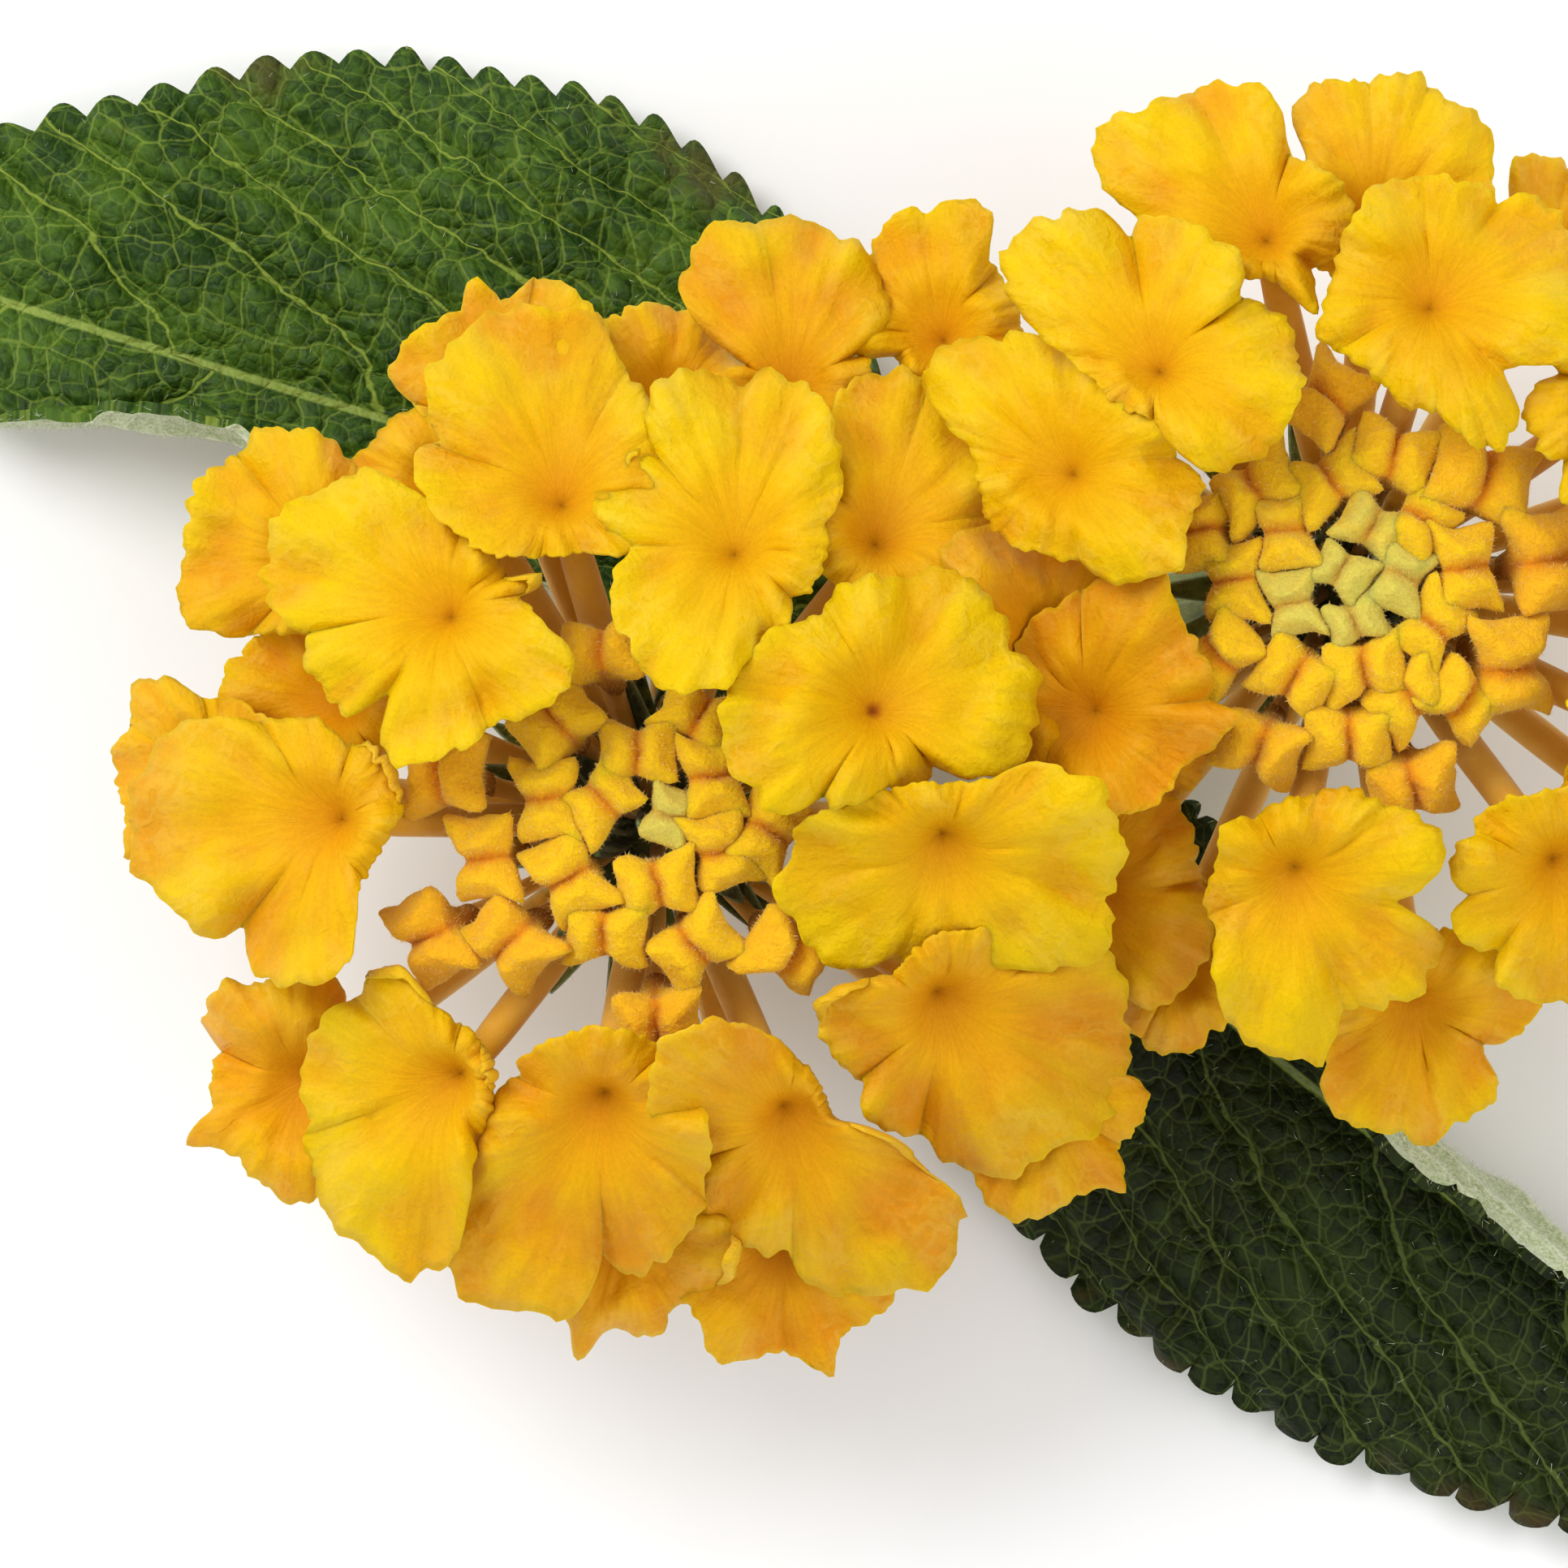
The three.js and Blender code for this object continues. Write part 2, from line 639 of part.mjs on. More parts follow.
function peduncle(head) {
  const [x, y] = head.middle;
  const top = vector([x, y, HEAD_HEIGHT - 1.5]);
  const bend = vector([0.8 * x, 0.8 * y, 6.2]);
  const curve = new THREE.QuadraticBezierCurve3(vector(head.stalkStart), bend, top);
  const green = [ball([0, 0, -1.15], RECEPTACLE_RADIUS, 0.55, 12), ...BRACTS.map(bract)];
  const placed = wasm.Manifold.union(green).translate([x, y, HEAD_HEIGHT]);
  return fused([rod(curve, () => PEDUNCLE_RADIUS, 8, 6), placed]);
}

// ---- leaves ------------------------------------------------------------------------------------

// Half width of a blade by share of its length.
const HALF_WIDTH = [
  [0, 0.3], [0.07, 6.0], [0.18, 10.2], [0.36, 11.4],
  [0.56, 9.9], [0.8, 5.6], [0.93, 2.3], [1, 0.15],
];

const LEAVES = [
  {
    name: "leaf_left",
    petiole: [[-1.45, 1.55, 5.0], [-2.0, 2.8, 4.9]],
    midrib: [
      [-2.4, 3.9, 4.6], [-10.5, 6.3, 3.9], [-18.0, 8.4, 3.2],
      [-30.0, 12.1, 1.8], [-38.9, 14.9, 0.3],
    ],
    // open half: falls to the surface; rolled half: stands up from a fold and leans back over the blade
    openSide: -1,
    openDrop: [[0, 8], [0.2, 19], [0.5, 15], [0.8, 9], [1, 2]],
    rolledShare: 0.6,
    fold: [[0, 3], [0.45, 1.9], [0.53, 1.0], [0.65, 1.7], [0.75, 2.5], [0.9, 4.0], [1, 4.5]],
    openShare: 0.965,
    lean: 112,
  },
  {
    name: "leaf_right",
    petiole: [[1.35, -1.95, 5.0], [1.9, -2.9, 4.9]],
    midrib: [
      [2.35, -3.9, 4.6], [5.2, -7.6, 3.9], [14.2, -15.2, 2.8],
      [23.0, -21.5, 1.5], [31.6, -26.4, 0.3],
    ],
    openSide: -1,
    openDrop: [[0, 8], [0.2, 19], [0.5, 13], [0.8, 7], [1, 2]],
    rolledShare: 0.62,
    fold: [[0, 3.2], [0.22, 2.0], [0.35, 0.3], [0.6, 0.2], [0.8, 0.6], [0.92, 1.6], [1, 3]],
    openShare: 0.83,
    lean: 106,
  },
];

// A path across one half of a blade: [distance out, height, tilt] at each step.
function halfSection(leaf, share, open, width) {
  const steps = [];
  const stops = open ? [0, 0.45, 0.8, 1] : [0, 0.3, 0.5, 0.7, 1];
  const count = stops.length - 1;
  const fold = along(leaf.fold, share);
  const drop = along(leaf.openDrop, share);
  const fine = 12;
  let out = 0;
  let height = 0;
  steps.push([out, height, 0]);
  for (let k = 0; k < count; k += 1) {
    let tilt = 0;
    for (let j = 0; j < fine; j += 1) {
      const part = stops[k] + ((stops[k + 1] - stops[k]) * (j + 0.5)) / fine;
      const arc = part * width;
      const turned = Math.min(1, Math.max(0, (arc - fold) / BEND));
      tilt = open ? 10 - 2.4 * drop * part : 6 + leaf.lean * turned;
      const stride = ((stops[k + 1] - stops[k]) * width) / fine;
      out += stride * Math.cos(radians(tilt));
      height += stride * Math.sin(radians(tilt));
    }
    steps.push([out, height, tilt]);
  }
  return steps;
}

// How far a tooth stands out of the margin at a phase of its pitch.
function toothAt(phase) {
  return TOOTH_HEIGHT * Math.sqrt(phase / 0.9);
}

function leafBlade(leaf) {
  const curve = new THREE.CatmullRomCurve3(leaf.midrib.map(vector));
  const length = curve.getLength();
  const teeth = Math.round(length / TOOTH_PITCH);
  const shares = [0];
  for (let tooth = 1; tooth < teeth; tooth += 1) {
    for (const phase of [0, 0.85]) shares.push((tooth + phase) / teeth);
  }
  shares.push(1);
  const rows = shares.map((share) => {
    const phase = (share * teeth) % 1;
    const centre = curve.getPointAt(share);
    const forward = curve.getTangentAt(share).setZ(0).normalize();
    const left = vector([-forward.y, forward.x, 0]);
    const tooth = share > 0 && share < 1 ? toothAt(phase > 0.95 ? 0 : phase) : 0;
    const width = along(HALF_WIDTH, share) + tooth;
    const wave = 0.35 * Math.sin(share * 21);
    const open = halfSection(leaf, share, true, width * leaf.openShare);
    const rolled = halfSection(leaf, share, false, Math.max(0.25, width * leaf.rolledShare));
    const spot = ([out, height, tilt], sign) => {
      const skin = LEAF_THICKNESS / 2;
      const raise = wave * Math.min(1, out / 9);
      const side = sign * out - sign * skin * Math.sin(radians(tilt));
      const under = sign * out + sign * skin * Math.sin(radians(tilt));
      const up = centre.clone().addScaledVector(left, side);
      const down = centre.clone().addScaledVector(left, under);
      up.z += height + raise + skin * Math.cos(radians(tilt));
      down.z += height + raise - skin * Math.cos(radians(tilt));
      return [up.toArray(), down.toArray()];
    };
    const openSpots = open.map((step) => spot(step, leaf.openSide)).reverse();
    const rolledSpots = rolled.slice(1).map((step) => spot(step, -leaf.openSide));
    return [...openSpots, ...rolledSpots];
  });
  return { curve, body: sheetSolid(rows, leaf.openSide < 0) };
}

// Closes rows of [upper, lower] point pairs into one thin body.
function sheetSolid(rows, flip) {
  const columns = rows[0].length;
  const points = rows.flatMap((row) => row.flat());
  const upper = (r, c) => 2 * (r * columns + c);
  const lower = (r, c) => upper(r, c) + 1;
  const faces = [];
  const add = (a, b, c, d) => {
    const pair = flip ? [[a, b, c], [a, c, d]] : [[a, c, b], [a, d, c]];
    faces.push(...pair);
  };
  // The lower face is split along the same diagonals as the upper one.
  const addLower = (a, b, c, d) => {
    const pair = flip ? [[a, c, b], [a, d, c]] : [[a, b, c], [a, c, d]];
    faces.push(...pair);
  };
  for (let r = 0; r < rows.length - 1; r += 1) {
    for (let c = 0; c < columns - 1; c += 1) {
      add(upper(r, c), upper(r + 1, c), upper(r + 1, c + 1), upper(r, c + 1));
      addLower(lower(r, c), lower(r + 1, c), lower(r + 1, c + 1), lower(r, c + 1));
    }
    const last = columns - 1;
    add(upper(r, 0), lower(r, 0), lower(r + 1, 0), upper(r + 1, 0));
    add(lower(r, last), upper(r, last), upper(r + 1, last), lower(r + 1, last));
  }
  const end = rows.length - 1;
  for (let c = 0; c < columns - 1; c += 1) {
    add(upper(0, c), upper(0, c + 1), lower(0, c + 1), lower(0, c));
    add(upper(end, c + 1), upper(end, c), lower(end, c), lower(end, c + 1));
  }
  return solid(points, faces);
}

function leafSolid(leaf) {
  const { curve, body } = leafBlade(leaf);
  const spine = leaf.petiole.map(vector);
  for (const share of [0.0, 0.12, 0.3, 0.5]) {
    const point = curve.getPointAt(share);
    point.z -= 0.45;
    spine.push(point);
  }
  const rib = rod(new THREE.CatmullRomCurve3(spine), (t) => 0.85 - 0.5 * t, 8, 10);
  return fused([body, rib]);
}

// ---- stem --------------------------------------------------------------------------------------

function stemSolid() {
  const path = [[11.6, 3.3, 1.43], [6.6, 2.2, 1.5], [3.0, 1.0, 2.7], [0, 0, NODE_HEIGHT]];
  const curve = new THREE.CatmullRomCurve3(path.map(vector));
  const shaft = rod(curve, () => STEM_RADIUS * 1.05, 8, 8);
  return fused([shaft, ball([0, 0, NODE_HEIGHT], NODE_RADIUS, 0.85, 16)]);
}

// ---- the object --------------------------------------------------------------------------------

const GREEN = new THREE.MeshStandardMaterial({ color: 0x6d8a3c, roughness: 0.7 });
const LEAF = new THREE.MeshStandardMaterial({ color: 0x33592b, roughness: 0.6 });
const YELLOW = new THREE.MeshStandardMaterial({ color: 0xf6c117, roughness: 0.6 });

const group = new THREE.Group();

function add(name, body, material) {
  const placed = body.translate([-BOX_MIDDLE[0], -BOX_MIDDLE[1], 0]);
  const { vertProperties, triVerts, numProp } = placed.getMesh();
  const count = vertProperties.length / numProp;
  const positions = new Float32Array(count * 3);
  for (let i = 0; i < count; i += 1) {
    positions.set(vertProperties.subarray(i * numProp, i * numProp + 3), i * 3);
  }
  const geometry = new THREE.BufferGeometry();
  geometry.setAttribute("position", new THREE.BufferAttribute(positions, 3));
  geometry.setIndex(new THREE.BufferAttribute(triVerts, 1));
  const mesh = new THREE.Mesh(mergeVertices(geometry), material);
  mesh.name = name;
  group.add(mesh);
}

add("stem", stemSolid(), GREEN);
for (const leaf of LEAVES) add(leaf.name, leafSolid(leaf), LEAF);

const [leftHead, rightHead] = HEADS;
const rightFlowers = flowers(rightHead).translate([...rightHead.middle, HEAD_HEIGHT]);
const leftFlowers = flowers(leftHead).translate([...leftHead.middle, HEAD_HEIGHT]);
const rightSpace = clearance(rightHead).translate([...rightHead.middle, HEAD_HEIGHT]);
add("flowers_left", fused([leftFlowers.subtract(rightSpace)]), YELLOW);
add("flowers_right", rightFlowers, YELLOW);
for (const head of HEADS) add("peduncle_" + head.side, peduncle(head), GREEN);

export default group;
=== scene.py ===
"""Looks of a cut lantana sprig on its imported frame: two flower heads, two leaves and a short stem.

Sizes in this file are millimetres unless a comment or a property says otherwise; plan positions are
measured from the leaf node of the stem, as in the solid part, and moved to the frame at the end.
"""

import math
import random

import bpy
import numpy as np
from mathutils import Euler, Matrix, Vector


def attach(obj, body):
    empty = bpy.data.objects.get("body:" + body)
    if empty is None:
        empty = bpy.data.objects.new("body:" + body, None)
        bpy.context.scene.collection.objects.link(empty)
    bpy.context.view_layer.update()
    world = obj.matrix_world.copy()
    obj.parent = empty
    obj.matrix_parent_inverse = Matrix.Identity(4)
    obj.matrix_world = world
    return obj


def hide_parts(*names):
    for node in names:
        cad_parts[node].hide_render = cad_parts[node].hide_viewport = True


bl_info = {
    "name": "Lantana sprig",
    "version": (1, 0, 0),
    "blender": (4, 5, 0),
    "location": "View3D > Sidebar > Lantana",
    "description": "Builds the looks of a cut lantana sprig on its packed frame",
    "category": "Add Mesh",
}

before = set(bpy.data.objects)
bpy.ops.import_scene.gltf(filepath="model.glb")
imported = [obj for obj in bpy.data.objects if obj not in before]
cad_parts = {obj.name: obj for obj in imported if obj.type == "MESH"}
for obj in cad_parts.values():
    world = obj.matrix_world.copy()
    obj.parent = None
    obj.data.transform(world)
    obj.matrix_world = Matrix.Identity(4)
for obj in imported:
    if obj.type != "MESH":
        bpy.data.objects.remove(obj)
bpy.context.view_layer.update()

MM = 0.001
BOX_MIDDLE = (-3.63, -3.91)  # middle of the part, measured from the leaf node
HEAD_HEIGHT = 10.5  # from the surface to the middle of a head's core
BUD_TOP = 8.8  # height of the middle buds over the core
BUD_SPLAY = 0.12  # how far a bud leans out for each millimetre from the middle

# Open florets. Each has its mouth [x, y, z] from the middle of its head, its lean [azimuth, degrees off
# upright] and a tint from lemon 0 to orange 1. Its limb is given in one of two ways:
#   outline: azimuth and reach in turn, all the way round, with splits, the azimuths between its petals;
#   lobes: [azimuth, reach, half width in degrees, curl], with cuts [azimuth, reach, width in degrees]
#     between them, which are found by rule where a floret has none.
# Some florets also have curls [azimuth, half width in degrees, height] where an edge rolls up, dimples
# [azimuth, reach, size], or a spot: how dark the painted shade in the mouth is.
LEFT_FLORETS = [
    dict(mouth=[-6.6, 6.5, 10.2], lean=[135, 28], tint=0.15, curls=[[18, 9, 1.0]],
         splits=[9, 80, 191, 237, 290], outline=[
        0, 2.8,  9, 2.1,  12, 3.1,  19, 3.3,  24, 2.2,  40, 2.2,  60, 2.5,  80, 2.9,  95, 3.2,  106, 3.8,
        116, 4.6,  124, 5.2,  136, 5.3,  148, 5.8,  160, 5.8,  175, 5.4,  186, 4.9,  191, 3.9,  197, 4.5,
        216, 4.6,  229, 4.5,  234, 3.2,  240, 3,  245, 4.5,  254, 5,  264, 4.8,  273, 4.55,  284, 4.2,
        291, 3.9,  300, 4.1,  312, 4.3,  331, 4.5,  340, 4.3,  350, 3.4,
    ]),
    dict(mouth=[2.4, 8.5, 10.6], lean=[90, 26], tint=0.1, curls=[[143, 14, 0.8]],
         splits=[31, 88, 131, 184, 316], outline=[
        0, 2.9,  14, 2.9,  29, 3.7,  34, 3.9,  42, 4.3,  50, 4.8,  60, 5.4,  69, 5.4,  79, 5.3,  88, 4.9,
        97, 5.25,  106, 5.5,  117, 5.4,  126, 4.9,  131, 3.8,  136, 4.6,  151, 4.6,  164, 4.4,  174, 4,
        182, 3.2,  188, 3.4,  194, 3.9,  201, 4.2,  212, 4.4,  224, 4.5,  233, 4.95,  241, 4.9,  251, 4.7,
        262, 4.6,  269, 4.4,  275, 3.7,  284, 3.4,  295, 3,  305, 2.9,  316, 2.4,  322, 2.6,  334, 2.75,
        348, 2.8,
    ]),
    dict(mouth=[6.9, 3.5, 11.4], lean=[30, 24], tint=0.1, spot=1.0,
         dimples=[[130, 2.4, 0.42], [347, 2.4, 0.55]], splits=[23, 122, 238, 312], outline=[
        0, 4.75,  11, 4.8,  18, 4.7,  23, 4.3,  30, 4.7,  43, 4.75,  54, 4.8,  63, 4.6,  76, 4.1,  90, 3.95,
        102, 4,  114, 3.8,  124, 3.3,  139, 3.8,  152, 4.1,  163, 4.5,  172, 4.9,  179, 5,  192, 5.05,
        205, 4.9,  214, 4.6,  221, 4.9,  226, 4.7,  233, 3.9,  238, 3,  243, 3.6,  250, 3.4,  260, 2.9,
        275, 2.5,  290, 2.6,  302, 2.8,  312, 2.4,  318, 3.3,  327, 4.1,  336, 4.5,  348, 4.75,
    ]),
    dict(mouth=[8.8, -1.0, 10.6], lean=[275, 38], tint=0.15, dimples=[[248, 2.35, 0.45], [314, 3.1, 0.45]],
         splits=[29, 150, 246, 344], outline=[
        0, 5.6,  8, 5.5,  18, 5.3,  24, 5.4,  29, 4.9,  40, 4.3,  48, 3.6,  56, 2.6,  73, 2.3,  95, 2.1,
        115, 2.3,  128, 2.5,  144, 2.9,  157, 3.4,  162, 4.1,  166, 4.6,  175, 4.7,  184, 4.6,  189, 5.1,
        198, 5.2,  208, 5.1,  220, 5.05,  226, 5.1,  233, 4.5,  242, 3.8,  246, 3.3,  250, 3.7,  261, 3.4,
        277, 3.45,  292, 3.8,  304, 4.45,  313, 5.1,  323, 5.55,  333, 5.7,  340, 5.6,  345, 5.1,  351, 5.5,
    ]),
    dict(mouth=[-3.0, 10.1, 9.2], lean=[100, 30], tint=0.4, splits=[60, 157, 250, 318], outline=[
        0, 3.6,  20, 3.8,  40, 3.8,  60, 4.2,  72, 5.2,  83, 5.7,  90, 5.4,  97, 5.8,  113, 5.9,  125, 5.8,
        133, 5.4,  140, 5.5,  150, 4.8,  157, 4,  165, 4.6,  180, 4.2,  200, 3.6,  220, 2.9,  240, 2.3,
        258, 2,  284, 2,  305, 2.3,  320, 3,  340, 3.4,
    ]),
    dict(mouth=[6.9, 8.9, 8.6], lean=[65, 32], tint=0.45, splits=[8, 70, 140, 290], outline=[
        0, 3.6,  20, 4.4,  40, 4.9,  60, 5.3,  70, 4.8,  80, 5,  92, 4.9,  105, 4.6,  118, 3.8,  130, 3,
        160, 2.4,  200, 2.2,  240, 2.2,  280, 2.4,  310, 2.6,  328, 3.2,  345, 3.6,
    ]),
    dict(mouth=[-10.2, 0.0, 8.8], lean=[180, 34], tint=0.45, curls=[[40, 30, 0.7]],
         splits=[73, 126, 231, 300], outline=[
        0, 2.3,  12, 2.4,  25, 2.5,  43, 2.7,  58, 2.7,  72, 2.5,  80, 2.6,  92, 3,  102, 3.15,  118, 3.4,
        128, 4,  134, 4.5,  140, 4.9,  149, 5.5,  159, 5.9,  170, 6.1,  180, 6,  189, 6.1,  197, 6.05,
        204, 5.7,  213, 5.65,  223, 5.45,  228, 5.1,  231, 3.6,  235, 4.3,  240, 4.95,  247, 5.2,  259, 5.2,
        270, 5.05,  277, 4.7,  284, 3.7,  290, 2.8,  298, 2.3,  316, 1.9,  336, 1.9,  350, 2.1,
    ]),
    dict(mouth=[-6.6, -8.2, 8.0], lean=[215, 40], tint=0.2, dimples=[[204, 2.4, 0.35]],
         curls=[[112, 16, 0.9], [20, 30, 0.8]], splits=[70, 134, 197, 297], outline=[
        0, 1.6,  14, 1.7,  35, 1.7,  56, 1.8,  80, 2.1,  97, 2.5,  102, 3,  107, 3.7,  117, 4.1,  125, 4.1,
        134, 3.85,  147, 4.2,  160, 4.45,  178, 4.4,  190, 4.3,  197, 4.1,  204, 4.7,  211, 5,  221, 5.3,
        232, 5.6,  240, 5.4,  250, 5.8,  260, 5.9,  269, 5.9,  275, 5,  282, 3.7,  288, 2.7,  300, 2.2,
        320, 1.8,  340, 1.6,
    ]),
    dict(mouth=[-1.8, -9.0, 8.8], lean=[255, 40], tint=0.6, splits=[42, 155, 215, 269, 318], outline=[
        0, 3.2,  12, 3.05,  32, 2.9,  58, 2.7,  75, 2.65,  90, 2.6,  104, 2.7,  118, 2.7,  131, 2.7,
        148, 2.9,  155, 2.6,  161, 3.1,  175, 3.3,  183, 3.4,  192, 3.8,  201, 4.4,  211, 4.9,  218, 5.6,
        224, 6.5,  230, 6.8,  238, 7.2,  247, 6.9,  256, 6.7,  264, 6.3,  268, 5.2,  271, 4.2,  276, 4.9,
        284, 5.1,  292, 5,  302, 4.8,  313, 4.4,  323, 4.1,  334, 3.9,  347, 3.5,
    ]),
    dict(mouth=[4.1, -9.4, 7.8], lean=[290, 40], tint=0.6, curls=[[351, 12, 1.1]],
         splits=[30, 90, 203, 269, 340], outline=[
        0, 2,  8, 1.3,  20, 1.1,  35, 1.1,  50, 1.5,  70, 1.8,  88, 2.1,  102, 2.85,  121, 3.7,  133, 4.3,
        146, 4.9,  160, 4.6,  176, 4.2,  192, 3.6,  203, 2.7,  210, 3,  218, 3.5,  226, 3.9,  237, 4.05,
        251, 4,  264, 3.9,  269, 3.6,  272, 4.8,  279, 5.3,  286, 5.65,  296, 5.9,  303, 6.1,  309, 6.6,
        317, 6.4,  323, 6.3,  333, 6.2,  337, 5.7,  341, 4.4,  345, 3.9,  352, 3.4,
    ]),
    dict(mouth=[8.9, -5.8, 7.6], lean=[300, 38], tint=0.6, curls=[[173, 15, 1.1]],
         splits=[25, 150, 222, 260, 330], outline=[
        0, 5.7,  10, 5.4,  25, 5,  45, 3.6,  70, 2.6,  100, 2.2,  130, 2,  150, 1.9,  160, 2.6,  168, 3.4,
        177, 3.95,  187, 4,  197, 3.9,  213, 3.7,  222, 3.5,  228, 3.9,  238, 4.1,  250, 4.2,  260, 4,
        269, 4.8,  283, 5.3,  293, 5.6,  300, 5.7,  308, 5.4,  313, 5.6,  322, 6,  335, 6,  342, 6,
        350, 5.9,
    ]),
    dict(mouth=[-4.8, 12.2, 5.8], lean=[115, 28], tint=0.6, splits=[80, 168, 270], outline=[
        0, 2.6,  20, 3.2,  40, 4.3,  50, 4.5,  62, 4.7,  74, 4.7,  80, 4.2,  90, 4,  96, 4.2,  99, 4.9,
        102, 4.9,  105, 4.2,  110, 3.8,  118, 3.7,  130, 3.8,  141, 4,  151, 4,  160, 3.6,  166, 2.8,
        180, 2.4,  220, 2.2,  270, 2.2,  320, 2.2,
    ]),
    dict(mouth=[-6.2, 10.0, 7.0], lean=[145, 34], tint=0.6, splits=[105, 205, 300], outline=[
        0, 2,  60, 2.2,  100, 2.8,  123, 3,  133, 3.05,  144, 3,  155, 3.4,  165, 3.7,  172, 3.9,  180, 4,
        195, 3.6,  215, 2.8,  250, 2,  300, 1.8,
    ]),
    dict(mouth=[-9.9, 3.8, 5.2], lean=[165, 36], tint=0.6, splits=[70, 215, 300], outline=[
        0, 2.2,  60, 2.4,  100, 2.5,  124, 2.7,  145, 3.1,  165, 3.6,  178, 3.7,  190, 3.6,  205, 3.4,
        230, 3.2,  260, 3,  300, 2.4,
    ]),
    dict(mouth=[-10.4, 8.0, 5.8], lean=[148, 36], tint=0.45, splits=[75, 131, 228, 320], outline=[
        0, 2.4,  40, 2.4,  75, 3.2,  88, 3.9,  98, 4.1,  110, 4.4,  119, 4.5,  131, 4.2,  141, 4.35,
        157, 4.45,  170, 4.3,  183, 4.45,  196, 4.5,  206, 4.55,  214, 4,  221, 3.7,  228, 2.9,  250, 2.4,
        300, 2.2,
    ]),
    dict(mouth=[-13.5, 1.2, 4.6], lean=[176, 40], tint=0.55, splits=[105, 148, 262], outline=[
        0, 2.4,  60, 2.4,  95, 2.6,  108, 2.8,  115, 3.5,  125, 3.8,  135, 3.9,  146, 3.4,  155, 3.3,
        162, 3.6,  172, 3.3,  180, 3.35,  190, 3.1,  205, 3.2,  220, 3.7,  233, 3.7,  245, 3,  270, 2.4,
        320, 2.4,
    ]),
    dict(mouth=[-11.0, -8.2, 3.8], lean=[218, 34], tint=0.65, cuts=[[160, 2.7, 6], [50, 2.2, 10]], lobes=[
        [138, 3.9, 14], [165, 2.9, 13], [182, 2.8, 12], [206, 4.2, 7], [225, 3.1, 12], [246, 3.3, 12],
        [268, 3.6, 15], [100, 3.4, 20], [340, 2.4, 40],
    ]),
    dict(mouth=[3.8, -13.2, 3.2], lean=[275, 34], tint=0.75, cuts=[[270, 3.2, 5], [100, 2.2, 10]], lobes=[
        [214, 3.4, 16], [240, 4.0, 15], [265, 3.4, 12], [290, 4.4, 7], [315, 3.5, 14], [336, 3.8, 15],
        [60, 2.4, 40], [140, 2.4, 35],
    ]),
    dict(mouth=[-1.2, -12.8, 4.0], lean=[258, 36], tint=0.7, cuts=[[305, 2.7, 6], [100, 2.2, 10]], lobes=[
        [251, 4.4, 7], [235, 3.0, 14], [215, 3.2, 16], [273, 3.0, 12], [288, 3.3, 12], [347, 3.8, 16, 1.0],
        [320, 3.1, 14], [70, 2.4, 40], [150, 2.4, 35],
    ]),
    dict(mouth=[11.8, -8.5, 3.4], lean=[312, 32], tint=0.7, cuts=[[330, 2.9, 6], [100, 2.2, 10]], lobes=[
        [256, 4.0, 18], [222, 3.1, 16], [312, 4.1, 7], [350, 3.3, 16], [285, 3.4, 14], [330, 3.2, 12],
        [60, 2.4, 40], [140, 2.4, 35],
    ]),
    dict(mouth=[12.2, 5.0, 7.0], lean=[0, 30], tint=0.8, splits=[20, 97, 250, 320], outline=[
        0, 2.6,  20, 2.4,  34, 2.6,  58, 2.9,  76, 3.3,  97, 3.6,  110, 4.3,  125, 4.9,  140, 4.6,
        160, 3.6,  200, 3,  240, 3.2,  270, 3.9,  290, 3.9,  306, 3.6,  325, 3.4,  345, 2.8,
    ]),
    dict(mouth=[4.0, 13.5, 5.6], lean=[85, 22], tint=0.6, lobes=[
        [113, 5.4, 13], [132, 4.9, 13], [86, 5.2, 16], [60, 4.6, 15], [37, 4.1, 16], [350, 1.9, 35],
        [200, 2.0, 30], [270, 1.8, 35],
    ]),
    dict(mouth=[0.5, 13.0, 4.6], lean=[95, 28], tint=0.6, splits=[50, 170, 290], outline=[
        0, 2.6,  40, 2.3,  60, 2.5,  72, 2.7,  95, 2.9,  112, 3.15,  131, 3.2,  150, 3.2,  180, 2.8,
        230, 2.4,  300, 2.6,
    ]),
]

